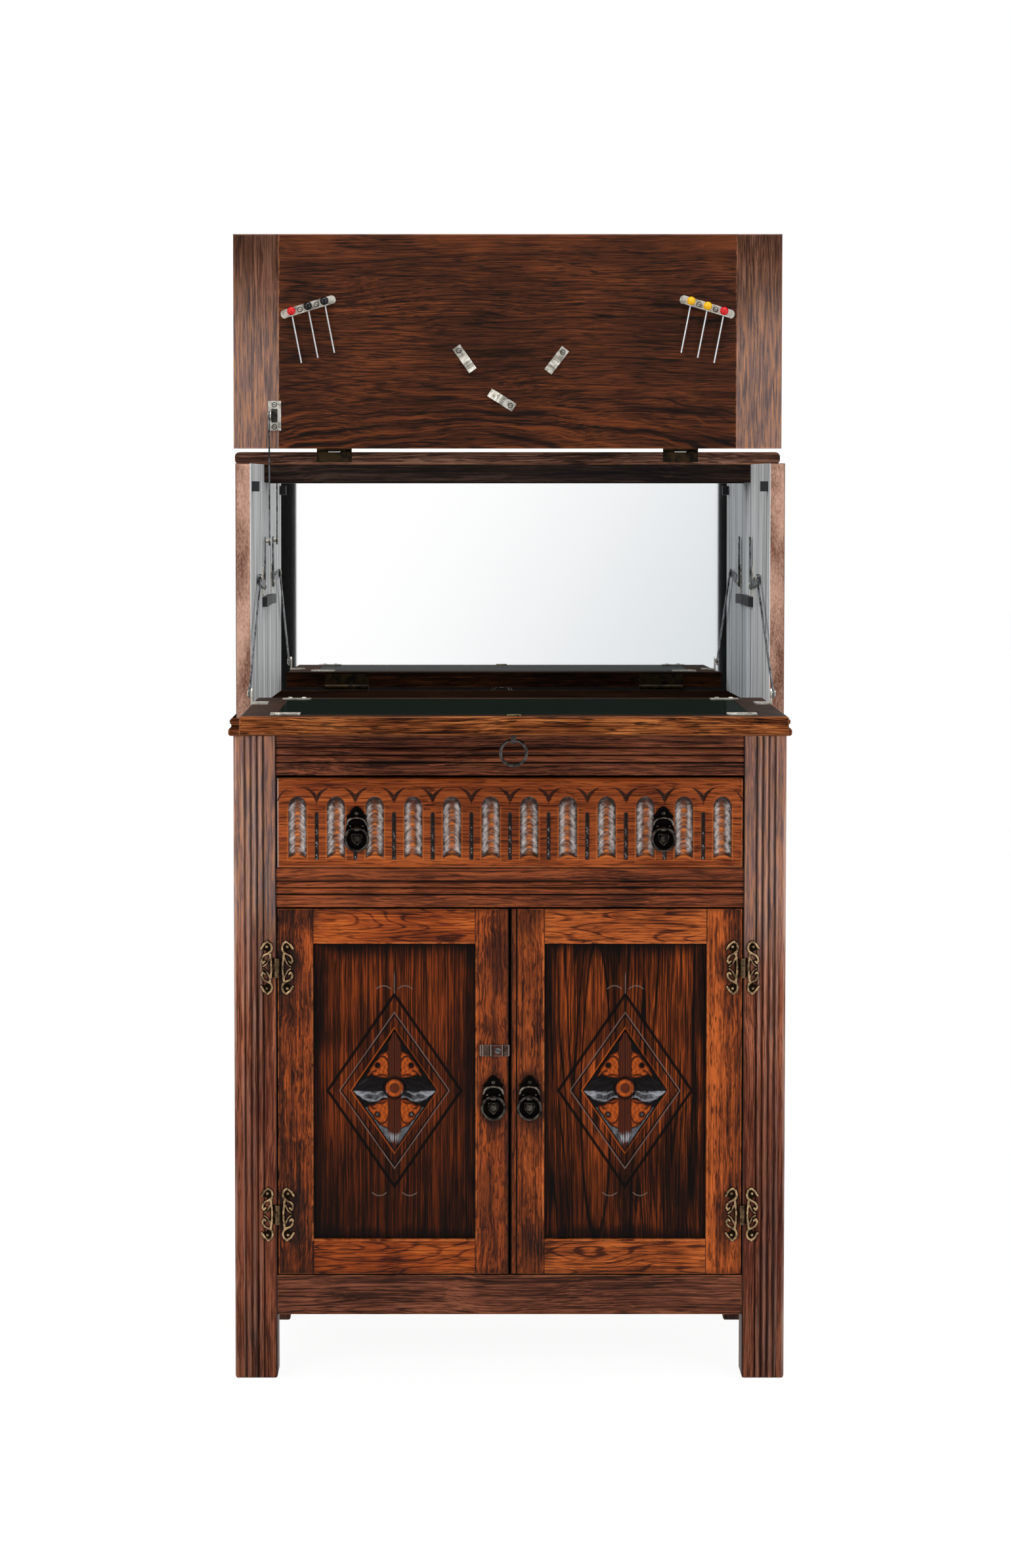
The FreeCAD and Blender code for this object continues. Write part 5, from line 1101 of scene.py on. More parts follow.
def drawerCarving(x, z):  # millimetres from the middle and from the foot
    look = drawerLook
    pitch = 2 * (look["halfWide"] - look["margin"]) / look["count"]
    halfW = look["width"] / 2
    number = np.clip(np.floor(x / pitch), -look["count"] // 2, look["count"] // 2 - 1)
    dx = x - (number + 0.5) * pitch
    radius = (halfW ** 2 + look["depth"] ** 2) / (2 * look["depth"])
    spring = look["high"] - look["topMargin"] - halfW
    crown = spring + np.sqrt(np.maximum(halfW ** 2 - dx ** 2, 0))
    foot = look["foot"] + look["lunette"] * (1 - (dx / halfW) ** 2)
    inside = (np.abs(dx) < halfW) & (z > foot) & (z < crown)
    bowl = np.sqrt(np.maximum(radius ** 2 - dx ** 2, 0)) - (radius - look["depth"])
    cut = np.where(inside, bowl * ease((crown - z) / 7.0) * ease((z - foot) / 1.6), 0)
    wander = np.sin(number * 4.7) * 1.5
    bow = z + np.sin(number * 12.9) * 5.0 + (dx - wander) ** 2 * look["sag"]  # marks arch across the flute
    phase = bow / look["chisel"] + 0.12 * np.sin(bow * 0.21 + number)
    saw = phase - np.floor(phase)
    fine = bow / look["chatter"] + 0.3 * np.sin(bow * 0.33 + number * 2.0)
    beat = np.abs(np.sin(np.pi * fine))
    depth = cut - np.where(inside, 0.6 * saw + 0.25 * beat, 0) * ease(cut / 2.5)
    hollow = np.where(inside, ease(cut / 0.8), 0)
    # painted highlights on the tool marks down each flute's middle, painted sheen on its flanks
    core = np.exp(-((dx - wander) / 4.0) ** 2) * ease((crown - z - 13) / 9.0)
    struck = np.maximum(ease((saw - 0.78) / 0.12), 0.55 * ease((beat - 0.6) / 0.4))
    glow = np.where(inside, core * struck, 0)
    warm = np.where(inside, np.exp(-((dx - wander) / 4.8) ** 2) * ease((crown - z - 4) / 8.0), 0)
    flank = np.exp(-((dx + 7.4) / 3.9) ** 2) + np.exp(-((dx - 7.2) / 3.7) ** 2)
    arcs = 0.6 * ease((saw - 0.7) / 0.2) + 0.4 * ease(beat ** 2)
    ends = ease((crown - z - 5) / 9.0) * ease((z - foot - 1.5) / 6.0)
    sheen = np.where(inside, flank * (0.55 + 0.6 * arcs) * ends, 0)

    across = x - np.round(x / pitch) * pitch  # reeds between the flutes
    reedHalf = look["reedWidth"] / 2
    reach = np.hypot(across, np.maximum(z - look["reedTop"] + reedHalf, 0))
    inReed = (reach < reedHalf) & (z > look["reedFoot"]) & (np.abs(x) < look["reedEnd"])
    depth += np.where(inReed, look["reedDepth"] * (1 - (reach / reedHalf) ** 2), 0)
    edge = np.where(inReed, ease((reedHalf - reach) / 0.9), 0)
    # painted sheen on the lower part of the reeds
    bits = ease((np.sin(z * 1.1 + number * 3.0) + np.sin(z * 0.37 + number * 7.0)) / 1.4)
    bits = np.where(inReed & (z < look["reedShine"]), bits * np.exp(-(across / 1.3) ** 2), 0)
    sheen = np.maximum(sheen, 0.9 * bits)
    groove = 0.92 * edge * (1 - 0.75 * bits)
    hollow = np.maximum(hollow, edge)

    cusp, crest = look["archCusp"], look["archCrest"]  # arcade over the flutes, with a tick below each cusp
    rise = crest - cusp
    arch = ((pitch / 2) ** 2 + rise ** 2) / (2 * rise)
    gap = np.abs(np.hypot(dx, z - crest + arch) - arch)
    swell = np.clip((np.abs(dx) - look["swellFrom"]) / (pitch / 2 - look["swellFrom"]), 0, 1) ** 1.15
    swell = np.where(np.abs(x) > pitch * (look["count"] / 2 - 0.5), swell * 0.3, swell)
    lineHalf = look["archThin"] + look["archSwell"] * swell
    line = np.where((gap < lineHalf) & (z > cusp - 1.5), 1 - gap / lineHalf, 0)
    tickHalf = look["tickHalf"] * np.clip(1 - (cusp + 2 - z) / look["tick"], 0, 1)
    onTick = (np.abs(across) < tickHalf) & (z < cusp + 2) & (np.abs(x) < look["reedEnd"])
    line = np.maximum(line, np.where(onTick, 1 - np.abs(across) / np.maximum(tickHalf, 0.01), 0))
    depth += look["archDepth"] * line * (0.5 + 0.5 * swell)
    groove = np.maximum(groove, ease(line * 2.6) * (0.3 + 0.7 * ease(swell * 4.0)))

    # painted highlight beside each flute's edge and along its foot
    edge = np.exp(-((np.abs(dx) - halfW - 0.6) / 0.9) ** 2) * ease((crown - z) / 6.0) * (z > foot - 2)
    edge = np.where(inside, 0, edge)
    lip = np.exp(-((z - foot + 1.6) / 1.6) ** 2) * (1 - (dx / halfW) ** 2)
    lip = np.where(np.abs(dx) < halfW, lip, 0) * (0.55 + 0.45 * np.sin(number * 2.1) ** 2)
    return depth, {"hollow": hollow, "groove": groove, "glow": glow, "sheen": sheen, "warm": warm,
                   "lit": np.maximum(edge * 0.5, lip)}


def carvedFinish(name, grain, look, flute, extra):  # face wood, dark cuts, painted highlights and painted sheen on the carving
    def cuts(f, p, x, y, z):
        extra(f, p, x, y, z)
        streak = f.noise(p, flute["patch"], 4, 0.65)
        # painted highlights from lit and glow, painted sheen in silverSheen where the sheen attribute and the
        # streaks are high
        f.stain(f.read("lit") * 0.8, flute["glow"])
        deep = f.blend(f.read("warm") * (0.45 + 0.5 * streak), flute["dark"], flute["core"])
        polish = f.span(streak * flute["streak"] + f.read("sheen") * 0.5, *flute["spread"])
        deep = f.blend(f.read("glow"), f.blend(polish, deep, flute["silverSheen"]), flute["glow"])
        f.stain(f.read("hollow"), deep)
        f.stain(f.read("groove") * (0.75 + 0.25 * streak), flute["groove"])
        f.rough = f.rough - f.read("hollow") * 0.16
    return oak(name, grain, look, None, cuts)


def makeDrawerFront():
    look = drawerLook
    low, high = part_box("drawer_front")
    r = look["edgeRound"]
    border = look["border"] + (r,)
    xs = gridLines(low.x, high.x, look["step"], border)
    zs = gridLines(low.z, high.z, look["step"], border)
    gridX, gridZ = np.meshgrid(xs, zs)
    depth, paints = drawerCarving(gridX / mm, (gridZ - low.z) / mm)
    edge = np.minimum.reduce([gridX - low.x, high.x - gridX, gridZ - low.z, high.z - gridZ]) / mm
    depth = depth + r - np.sqrt(r ** 2 - np.clip(r - edge, 0, r) ** 2)
    paints["rim"] = ease(1 - edge / 3.5)

    def rim(f, p, x, y, z):  # handled edges, painted highlight down the left end
        rub = f.span(f.noise(p, (14.0, 90.0, 90.0), 3, 0.6), 0.3, 0.7)
        f.stain(f.read("rim") * rub * 0.55, look["rim"])
        f.stain(f.fade(x - low.x, 0.0012, 0.0034) * 0.5, look["end"])

    material = carvedFinish("oakDrawer", "x", look["face"], look["flute"], rim)
    carvedBoard("drawerFront", xs, zs, low.y, high.y, depth, paints, material, "drawer", "drawer_front")


makeDrawerFront()
print("drawer front carved")

panelLook = {  # mm from the lozenge's middle, which stands a little over the panel's
    "rise": 0.8, "step": 0.8, "coarse": 6.0, "reach": (62.0, 90.0),
    "outline": (92.2, 134.0, 2.6), "band": (77.2, 110.8, 2.2, 4.2), "sunk": (58.8, 85.8, 3.4),
    "boss": (14.6, 3.2), "bossRise": 3.3, "dimple": (1.0, 6.6),
    "tallRise": 3.0, "veinDepth": 0.9, "wideRise": 2.9, "lobeRise": 2.9,
    "tall": ((-84, 0.3), (-82, 2), (-74, 5), (-66, 7.5), (-58, 9), (-52, 9.5), (-40, 8.8), (-20, 8.5), (0, 9),
             (20, 9), (52, 9.3), (60, 9.6), (66, 8.5), (72, 6.2), (78, 3.6), (83, 0.4)),
    "wideTop": ((0, 15), (13, 17.5), (22, 17.5), (30, 18.2), (36, 17.6), (45, 13.4), (52, 9), (57, 2.5),
                (59, 0)),
    "wideFoot": ((0, 12), (13, 11.5), (17, 11), (22, 15.5), (30, 17), (35, 18), (40, 13.8), (44, 13), (48, 9),
                 (53, 6), (58, 0.5)),
    "lobes": (((6, 57), (11, 54.5), (15.5, 53), (21.5, 49), (23.5, 43.5), (28, 40.5), (30, 36), (34.5, 31.5),
               (35, 27), (39, 22), (38.5, 18.5), (35, 18.5), (32.5, 22), (29, 19.5), (20, 17), (6, 15)),
              ((6, -58), (9, -54), (14, -52), (21.5, -48.5), (24, -43), (28.5, -40.5), (30, -35), (34, -32),
               (38.5, -22), (34, -19.5), (30, -21), (24, -16), (15, -12), (6, -11))),
    "scrolls": (((22.5, 45), (18.5, 47.5), (14, 46.8), (10.2, 43.5), (8.4, 39), (8, 33)),
                ((21, -45), (16, -46.8), (11, -43), (8.6, -37)),
                ((32.5, 22), (29.5, 26), (25, 27.5)), ((34, -19.5), (30.5, -24.5), (27, -25.5)),
                ((12, 20.5), (18, 22), (24, 20)), ((12, -16), (18, -18.5), (23, -17.5))),
    "holes": ((23.3, 34.8, 2.5), (23.6, -34.0, 2.5)),
    "curls": ((21.0, -134.0), (15.0, 133.0)), "curlRadius": 13.0, "stem": (134.0, 168.0),
    "left": {"tones": ((26, 9, 4), (68, 29, 12), (150, 66, 25)), "seed": (0.3, 4.0, 0.5), "fibreDepth": 2.0,
             "figureSize": (0.9, 150.0), "figureDepth": 1.0, "poreSize": (22.0, 420.0),
             "drift": 0.008, "blotchDepth": 1.0, "fibreSize": (7.0, 520.0), "polish": 0.07},
    "right": {"tones": ((16, 6, 2), (86, 37, 14), (206, 96, 38)), "seed": (0.9, 2.0, 3.5), "fibreDepth": 1.5,
              "heart": {"across": "x", "at": 1.02, "crown": 3.94, "slope": 0.09, "perMetre": 62},
              "figureDepth": 0.8, "poreSize": (22.0, 420.0), "poreDepth": 0.55, "drift": 0.014,
              "blotchDepth": 0.7, "rings": 17.0, "ringDepth": 0.34, "polish": 0.07},
    # silverSheen: painted sheen on the leaves and ground; glow: painted highlights on the lobes and boss
    "flute": {"dark": (22, 19, 20), "core": (150, 64, 22), "silverSheen": (160, 162, 168),
              "patch": (150.0, 150.0, 110.0), "streak": 0.6, "spread": (0.44, 0.98),
              "groove": (12, 8, 7), "glow": (204, 96, 32)},
    # bevelSheen: painted sheen on the band's bevel
    "vignette": (9, 7, 7), "bevelSheen": (110, 92, 86), "scored": (6, 4, 3), "scratched": (126, 112, 104),
    "lap": 6,                                     # of the panel's edge in its groove
    "dark": {"flank": (0.001, 0.034), "crown": (0.0, 0.03), "foot": (0.002, 0.05)},  # metres from the frame
    "dim": {"foot": (0.03, 0.25), "flank": (0.01, 0.06)},
    "back": (-0.0012, -0.0006),                   # metres before the back face, which stays plain
}


def panelCarving(u, v):  # millimetres from the lozenge's middle
    look = panelLook
    halfW, halfH, sink = look["sunk"]
    au = np.abs(u)
    inner = (1 - au / halfW - np.abs(v) / halfH) * halfW * halfH / math.hypot(halfW, halfH)
    inside = inner > 0
    lit = np.exp(-((inner + 1.0) / 0.8) ** 2) * (inner < 0) * np.where(u < 0, 0.75, 0.3)
    bossR, bossV = look["boss"]
    r = np.hypot(u, v - bossV)
    onBoss = r < bossR

    tallHalf = np.interp(v, *zip(*look["tall"])) + 0.5 * np.sin(v * 0.5)  # upright leaf
    inTall = (au < tallHalf) & inside
    veins = np.exp(-(u / 0.8) ** 2)
    for aside, share in ((3.4, 0.6), (6.3, 0.5)):
        veins = veins + share * np.exp(-((au - aside) / 0.7) ** 2)
    tallRise = look["tallRise"] * roundOver(au, np.maximum(tallHalf, 0.1)) - look["veinDepth"] * veins
    tallRise = np.where(inTall, tallRise, 0)

    top = np.interp(au, *zip(*look["wideTop"]))  # level leaf
    foot = -np.interp(au, *zip(*look["wideFoot"]))
    inWide = (v < top) & (v > foot) & (au < 59) & inside & ~inTall
    fall = np.where(v > 1, (v - 1) / np.maximum(top - 1, 0.5), (1 - v) / np.maximum(1 - foot, 0.5))
    curl = np.sin((v * 1.1 + 0.0045 * (au - 18) ** 2 * np.sign(v - 1)) * 0.6 + au * 0.16 + np.sin(au * 0.3))
    wideRise = np.where(inWide, look["wideRise"] * roundOver(fall, 1) - 0.25 * (1 - curl), 0)

    lobe = np.full(u.shape, -9.0)  # lobed leaves between them, with their scrolls and eyes
    for outline in look["lobes"]:
        lobe = np.maximum(lobe, insideOf(au, v, smoothed(list(outline))))
    eye = np.full(u.shape, -9.0)
    for cx, cy, hole in look["holes"]:
        eye = np.maximum(eye, hole - np.hypot(au - cx, v - cy))
    lobe = np.minimum(lobe, -eye)
    scroll = np.full(u.shape, 9.0)
    for line in look["scrolls"]:
        scroll = np.minimum(scroll, nearLine(au, v, list(line)))
    inLobe = (lobe > 0) & inside & ~inTall & ~inWide
    cut = np.exp(-(scroll / 1.15) ** 2)
    lobeRise = np.where(inLobe, look["lobeRise"] * ease(lobe / 2.0) * (1 - 0.6 * cut), 0)

    moat = ease(1 - np.abs(r - bossR - 0.8) / 1.6)  # round the boss
    rise = np.maximum.reduce([tallRise, wideRise, lobeRise]) * (1 - 0.85 * moat)
    dimple, dimpleR = look["dimple"]
    dome = look["bossRise"] * ease((bossR - r) / 2.0) - dimple * ease((dimpleR - r) / 1.6)
    rise = np.where(onBoss, dome, rise)
    raised = np.minimum(rise, sink - 0.1) * ease(inner / 1.2)
    depth = np.where(inside, sink * ease(inner / 0.9) - raised, 0)

    ringed = np.exp(-((r - 9.2) / 2.3) ** 2)
    warm = np.where(inTall, 0.4 - 0.3 * veins, np.where(inLobe, 0.45 + 0.5 * ease(lobe / 4.0), 0.0))
    warm = np.where(inWide, 0.0, warm)
    warm = np.where(onBoss, np.maximum(ringed * 0.9, 0.5 * ease((6.4 - r) / 2.0)), warm)
    mottle = 0.5 + 0.5 * np.sin(au * 0.9 + 1.3 * np.sin(v * 0.35)) * np.sin(v * 0.55 + au * 0.2)
    # painted highlights on the lobes and the boss ring, stronger on its left
    glow = np.where(inLobe, ease((lobe - 1.4) / 2.6) * (0.05 + 0.75 * mottle) * (1 - cut), 0)
    glow = np.where(onBoss, ringed * np.where(u < 0, 0.85, 0.5), glow)

    ground = inside & ~inTall & ~inWide & ~inLobe & (r > bossR)
    groundSheen = ground & (v < -24) & (inner > 1.0)  # painted sheen on the ground at the foot
    groove = np.maximum.reduce([
        np.where(inLobe, np.maximum(ease(1 - lobe / 1.7), cut * 0.95), 0),
        np.where(inTall, ease(1 - (tallHalf - au) / 1.6) * 0.9, 0),
        np.where(inTall & (r > bossR), 0.55 * np.clip(veins, 0, 1), 0),
        np.where(inside, np.maximum(ease(eye + 0.4), moat * 0.85), 0),
        np.where(inside, ease(1 - np.abs(inner - 0.5) / 0.9), 0), ground * 0.85])
    groove = np.where(onBoss & (r > bossR - 1.6), 0.8, groove)
    groove = np.where(groundSheen, groove * 0.4, groove)
    fan = ease((1 - v) / 3.0) * (0.5 + 0.35 * ease(curl) + 0.5 * ease((au - 34) / 14.0))
    tip = np.exp(-((v + 66) / 8.0) ** 2) * 1.3 * (1 - 0.8 * veins)
    sheen = np.where(inWide & (v < 1), fan, np.where(inWide & (v > 1), 0.16 * ease(curl), 0))
    sheen = np.maximum.reduce([sheen, np.where(inTall, tip, 0), groundSheen * 0.75])
    return depth, {"hollow": np.where(inside, ease(inner / 0.5), 0), "groove": groove, "glow": glow,
                   "sheen": sheen, "warm": np.clip(warm, 0, 1), "lit": lit}


def fineLines(low, high, middle, reach):  # coarse steps with a fine stretch about the middle
    look = panelLook
    steps = ((low, middle - reach, look["coarse"]), (middle - reach, middle + reach, look["step"]),
             (middle + reach, high, look["coarse"]))
    return np.concatenate([np.arange(start, stop, step * mm) for start, stop, step in steps] + [[high]])


def makeDoorPanel(side):
    look = panelLook
    node = "door_%s_panel" % side
    low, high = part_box(node)
    cx = (low.x + high.x) / 2
    cz = (low.z + high.z) / 2 + look["rise"] * mm
    reachX, reachZ = scaled(look["reach"])
    xs = fineLines(low.x, high.x, cx, reachX)
    zs = fineLines(low.z, high.z, cz, reachZ)
    gridX, gridZ = np.meshgrid(xs, zs)
    depth, paints = panelCarving((gridX - cx) / mm, (gridZ - cz) / mm)

    def vignette(f, p, x, y, z):  # darker along the frame, most at the foot
        u, v = (x - cx) / mm, (z - cz) / mm
        cloud = (f.noise(p, (16.0, 16.0, 6.0), 3, 0.6) - 0.5) * 0.05
        lap = look["lap"] * mm
        flank = (high.x - low.x) / 2 - lap - abs(x - cx) + cloud
        crown = high.z - lap - z + cloud
        rise = z - low.z - lap + cloud
        dark, dim = look["dark"], look["dim"]
        shade = mostOf([f.fade(flank, *dark["flank"]), f.fade(crown, *dark["crown"]),
                        f.fade(rise, *dark["foot"]), f.fade(rise, *dim["foot"]) * 0.75,
                        f.fade(flank, *dim["flank"]) * 0.45])
        front = f.fade(y, *beside(high.y, look["back"]))
        f.stain(shade * front * 0.93, look["vignette"])

        def outside(halfW, halfH):  # millimetres outside a lozenge
            scale = halfW * halfH / math.hypot(halfW, halfH)
            return (abs(u) * (1 / halfW) + abs(v) * (1 / halfH) - 1) * scale

        halfW, halfH, thick = look["outline"]
        scratch = f.fade(abs(outside(halfW, halfH)), thick * 0.4, thick * 1.2)
        halfW, halfH, bevel, foot = look["band"]
        gap = 0 - outside(halfW, halfH)
        slope = f.span(gap, 0.0, 0.5) * f.fade(gap, bevel - 0.4, bevel)
        crease = f.span(gap, bevel - 0.2, bevel + 0.2) * f.fade(gap, foot - 0.6, foot)
        flare = f.noise(p, (30.0, 30.0, 30.0), 2, 0.5)
        # painted sheen on the band's bevel
        f.stain(slope * front * (0.1 + 1.3 * flare).least(1.0), look["bevelSheen"])
        f.stain((scratch * 0.96).most(crease * 0.96) * front, look["scored"])
        curls = []
        for aside, level in look["curls"]:  # short scratched curls beyond the tips
            over = v - level
            ring = f.fade(abs(f.reach(abs(u) - aside, over) - look["curlRadius"]), 0.3, 1.1)
            curls.append(ring * (f.fade(over, -9.5, -7.5) if level < 0 else f.span(over, 7.5, 9.5)))
        stemFoot, stemHead = look["stem"]
        stem = f.fade(abs(u), 0.3, 1.0) * f.span(v, stemFoot, stemFoot + 2)
        stem = stem * f.fade(v, stemHead - 10, stemHead)
        f.stain(mostOf(curls + [stem]) * front * 0.6, look["scratched"])
        sunk = front * gap.most(0.0).least(bevel) * f.span(gap, foot + 0.6, foot)
        f.height = f.height - scratch * front * 1.5 - sunk * 0.6

    material = carvedFinish("oakPanel_" + side, "z", look[side], look["flute"], vignette)
    carvedBoard("panel_" + side, xs, zs, low.y, high.y, depth, paints, material, "door_" + side, node)


makeDoorPanel("left")
makeDoorPanel("right")
print("door panels carved")


# Door frames

doorLook = {
    "left": {"stile": ((36, 13, 6), (100, 45, 21), (182, 86, 36)), "seed": (0.7, 1.0, 6.0), "curl": 0.014,
             "rail": ((62, 22, 7), (154, 68, 24), (208, 108, 44)),
             "grimy": ((-309, 231, 34, 60, 0.85), (-309, 575, 34, 64, 0.9), (-23, 392, 26, 46, 0.85),
                       (-300, 655, 46, 40, 0.6), (-300, 400, 12, 90, 0.25), (-34, 250, 18, 70, 0.5),
                       (-14, 585, 18, 60, 0.45))},    # x, z and reach in mm of a dark patch, and how dark
    "right": {"stile": ((42, 17, 7), (142, 66, 27), (204, 102, 44)), "seed": (3.7, 5.0, 1.0), "curl": 0.010,
              "rail": ((66, 26, 9), (176, 86, 36), (222, 124, 60)),
              "grimy": ((309, 231, 30, 60, 0.7), (309, 575, 30, 64, 0.7), (27, 392, 30, 48, 0.9),
                        (22, 650, 40, 42, 0.55), (24, 190, 40, 60, 0.5))},
    "stileGrain": {"poreSize": (60.0, 330.0), "driftSize": (18.0, 34.0)},
    "railGrain": {"poreSize": (34.0, 420.0), "figureDepth": 0.7, "fibreDepth": 1.6, "rings": 16.0,
                  "ringSize": (4.0, 24.0)},
    "places": (0.14, 0.5, 0.88), "panelLap": 5.7,     # mm of each panel's edge in its groove
    "wearTone": (214, 120, 62), "grime": (20, 13, 12), "pore": (30, 12, 6), "meeting": (34, 12, 8),
    "joint": (26, 12, 7), "gap": (9, 5, 4), "quirk": 0.0096,
    "grimeSpan": (0.35, 1.15), "rimGrime": (0.001, 0.012), "meetingHalf": (0.026, 0.044),     # metres
    "wearRim": (0.0006, 0.0022), "wearInner": (0.0010, 0.0034), "jointHalf": (0.0003, 0.0012),
    "gapHalf": (0.0026, 0.0036), "endGap": (0.0006, 0.0016), "quirkHalf": (0.0007, 0.0014),
}


def doorFinish(side):  # upright grain in the stiles, level grain in the rails
    look = {**doorLook, **doorLook[side]}
    low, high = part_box("door_%s_frame" % side)
    pLow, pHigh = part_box("door_%s_panel" % side)
    midX, midZ = (low.x + high.x) / 2, (low.z + high.z) / 2
    lap = look["panelLap"] * mm
    panelX, panelHalf = (pLow.x + pHigh.x) / 2, (pHigh.x - pLow.x) / 2 - lap
    panelHigh = (pHigh.z - pLow.z) / 2 - lap
    f = Finish("oakDoor_" + side)
    p = f.place()
    x, y, z = f.split(p)
    seeded = f.shift(p, look["seed"])
    stile = f.span(abs(x - panelX), panelHalf - 0.0001, panelHalf + 0.0001)
    up, upFibre, upPore = oakGrain(f, seeded, "z", {**look["stileGrain"], "drift": look["curl"]})
    flat, flatFibre, flatPore = oakGrain(f, seeded, "x", look["railGrain"])
    blotch = (f.noise(seeded, (9.0,) * 3, 3, 0.5) - 0.5) * 1.2
    f.colour = f.blend(stile, f.ramp(flat + blotch, look["places"], look["rail"]),
                       f.ramp(up + blotch, look["places"], look["stile"]))
    fibre = upFibre * stile + flatFibre * (1 - stile)
    pore = upPore * stile + flatPore * (1 - stile)
    f.stain(pore * 0.62, look["pore"])
    outerX = (high.x - low.x) / 2 - abs(x - midX)
    outerZ = (high.z - low.z) / 2 - abs(z - midZ)
    inner = (abs(x - panelX) - panelHalf).most(abs(z - midZ) - panelHigh)
    rim = outerX.least(outerZ)
    cloud = f.noise(seeded, (22.0, 22.0, 16.0), 3, 0.62)
    shades = []
    for gx, gz, reachX, reachZ, depth in look["grimy"]:
        far = f.reach((x - gx * mm) / (reachX * mm), (z - gz * mm) / (reachZ * mm))
        shades.append(f.fade(far + (cloud - 0.5) * 1.6, *look["grimeSpan"]) * depth)
    shades.append(f.fade(rim + (cloud - 0.5) * 0.02, *look["rimGrime"]) * 0.5)
    f.stain(mostOf(shades), look["grime"])
    f.stain(f.fade(abs(x) + (cloud - 0.5) * 0.03, *look["meetingHalf"]) * 0.3, look["meeting"])
    rub = f.span(f.noise(seeded, (60.0,) * 3, 3, 0.6), 0.35, 0.6)
    worn = f.fade(rim, *look["wearRim"]).most(f.fade(inner, *look["wearInner"])) * rub
    f.stain(worn * 0.6, look["wearTone"])
    joint = f.fade(abs(abs(x - panelX) - panelHalf), *look["jointHalf"]) * f.span(inner, -0.001, 0.001)
    f.stain(joint * 0.75, look["joint"])
    # painted shade in the gap between the doors and at the frame's ends
    gap = f.fade(abs(x), *look["gapHalf"]).most(f.fade(outerZ, *look["endGap"]))
    if side == "right":  # painted shade in the quirk beside the meeting bead
        gap = gap.most(f.fade(abs(x - look["quirk"]), *look["quirkHalf"]) * 0.9)
    f.stain(gap * 0.95, look["gap"])
    return f.shade((fibre * 0.5 - pore * 0.5, oakLook["bumpLift"], oakLook["bumpStrength"]),
                   Roughness=0.36 + fibre * 0.2 + pore * 0.15, Specular_IOR_Level=oakLook["polish"])


for side in ("left", "right"):
    dress(doorFinish(side), "door_%s_frame" % side)
print("door frames dressed")


# Floor, light and camera

def seenRays(f):  # 1 for what the camera, the glass and the metal see, 0 for light on the cabinet
    first = f.node("ShaderNodeLightPath", out="Is Camera Ray")
    rays = first.socket.node.outputs
    return mostOf([first, Sock(f, rays["Is Glossy Ray"]), Sock(f, rays["Is Transmission Ray"])])


floorLook = {"bounce": (0.8, 0.8, 0.8, 1), "shadow": (0.14, 0.14, 0.14, 1), "glow": 0.93, "size": 25.0}


def makeStage():  # white to the eye with a faint shadow, plain grey for the light it throws back
    f = Finish("paleFloor")
    plain = f.node("ShaderNodeBsdfDiffuse", inputs={"Color": floorLook["bounce"]})
    thin = f.node("ShaderNodeBsdfDiffuse", inputs={"Color": floorLook["shadow"]})
    white = f.node("ShaderNodeEmission", inputs={"Color": (1, 1, 1, 1), "Strength": floorLook["glow"]})
    lit = f.node("ShaderNodeAddShader", inputs={0: thin, 1: white})
    surface = f.node("ShaderNodeMixShader", inputs={0: seenRays(f), 1: plain, 2: lit})
    f.node("ShaderNodeOutputMaterial", inputs={"Surface": surface})
    form = bmesh.new()
    bmesh.ops.create_grid(form, x_segments=1, y_segments=1, size=floorLook["size"])
    mesh = meshFrom("floor", form)
    mesh.materials.append(f.material)
    floor = addObject("floor", mesh)
    floor.location.z = cadBox[0].z - 0.0002


flagLook = {  # dark cards that the mirror and the polish show, round a window in x and z
    "y": -6.0, "window": (-0.66, 0.83, 0.70, 1.50), "reach": (-7.0, 7.0, 0.0, 6.0),
    "shade": (0.006, 0.006, 0.006, 1),
}


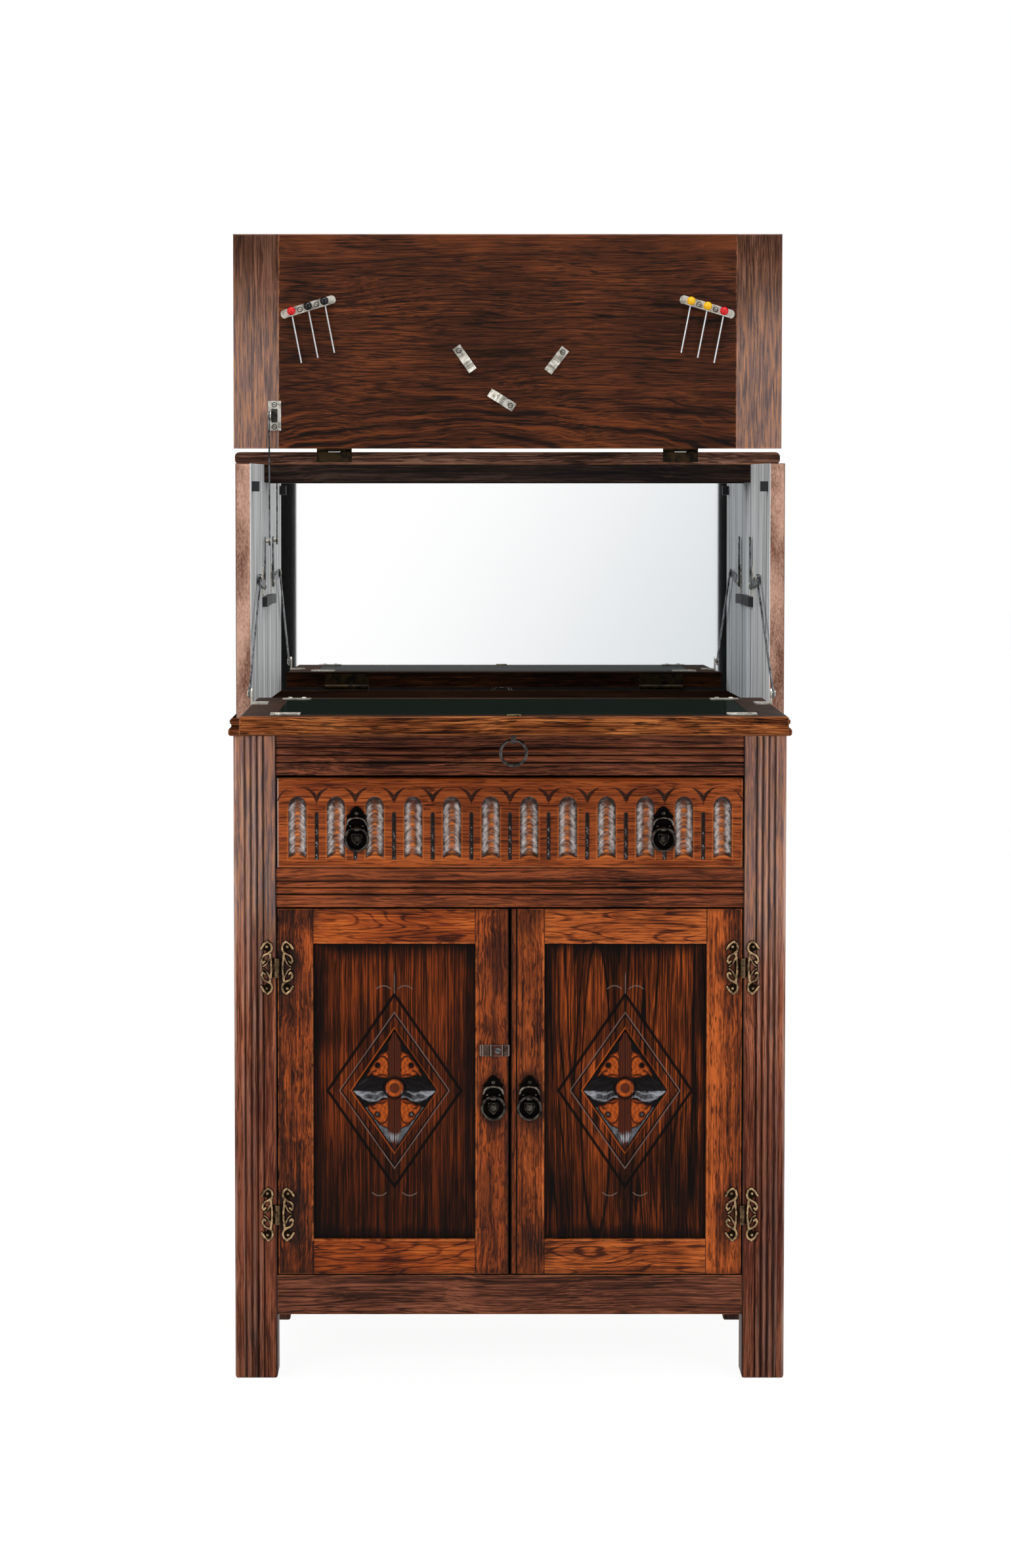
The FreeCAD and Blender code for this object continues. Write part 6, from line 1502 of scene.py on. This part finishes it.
def makeFlags():
    f = Finish("darkCard")
    card = f.node("ShaderNodeEmission", inputs={"Color": flagLook["shade"], "Strength": 1.0})
    f.node("ShaderNodeOutputMaterial", inputs={"Surface": card})
    x0, x1, z0, z1 = flagLook["window"]
    left, right, foot, head = flagLook["reach"]
    form = bmesh.new()
    for a, b, c, d in ((left, x0, foot, head), (x1, right, foot, head),
                       (x0, x1, foot, z0), (x0, x1, z1, head)):
        corners = [form.verts.new((x, flagLook["y"], z)) for x, z in ((a, c), (b, c), (b, d), (a, d))]
        form.faces.new(corners)
    mesh = meshFrom("flags", form)
    mesh.materials.append(f.material)
    flags = addObject("flags", mesh)
    flags.visible_camera = flags.visible_diffuse = flags.visible_shadow = False


lightLook = {
    "ambient": 0.5,
    "lamps": (("key", (-2.6, -3.4, 2.6), 2.2, 60.0), ("fill", (2.8, -3.2, 1.8), 2.2, 45.0),
              ("top", (0.2, -0.6, 3.8), 2.0, 35.0)),   # place, size in metres and power in watts
    "target": (0.0, 0.0, 0.8),
}


def makeWorld():
    world = bpy.data.worlds.new("studio")
    bpy.context.scene.world = world
    world.use_nodes = True
    f = Finish("studio", world.node_tree)
    ambient = f.node("ShaderNodeBackground", inputs={"Color": (1, 1, 1, 1), "Strength": lightLook["ambient"]})
    white = f.node("ShaderNodeBackground", inputs={"Color": (1, 1, 1, 1), "Strength": 1.0})
    surface = f.node("ShaderNodeMixShader", inputs={0: seenRays(f), 1: ambient, 2: white})
    f.node("ShaderNodeOutputWorld", inputs={"Surface": surface})


def makeLamps():
    for name, place, size, power in lightLook["lamps"]:
        lamp = bpy.data.lights.new(name, "AREA")
        lamp.shape = "DISK"
        lamp.size = size
        lamp.energy = power
        holder = addObject(name, lamp)
        holder.location = place
        aim = Vector(lightLook["target"]) - Vector(place)
        holder.rotation_euler = aim.to_track_quat("-Z", "Y").to_euler()


cameraLook = {"place": (-0.0609, -4.2411, 1.2468), "down": 2.876,   # metres, degrees
              "lens": 70.948, "shift": (0.02535, -0.0949)}


def makeCamera():
    lens = bpy.data.cameras.new("camera")
    lens.lens = cameraLook["lens"]
    lens.shift_x, lens.shift_y = cameraLook["shift"]
    camera = addObject("camera", lens)
    camera.location = cameraLook["place"]
    camera.rotation_euler = (math.radians(90 - cameraLook["down"]), 0, 0)
    bpy.context.scene.camera = camera


makeStage()
makeFlags()
makeWorld()
makeLamps()
makeCamera()
bpy.context.scene.view_settings.view_transform = "Standard"
print("stage, light and camera set")
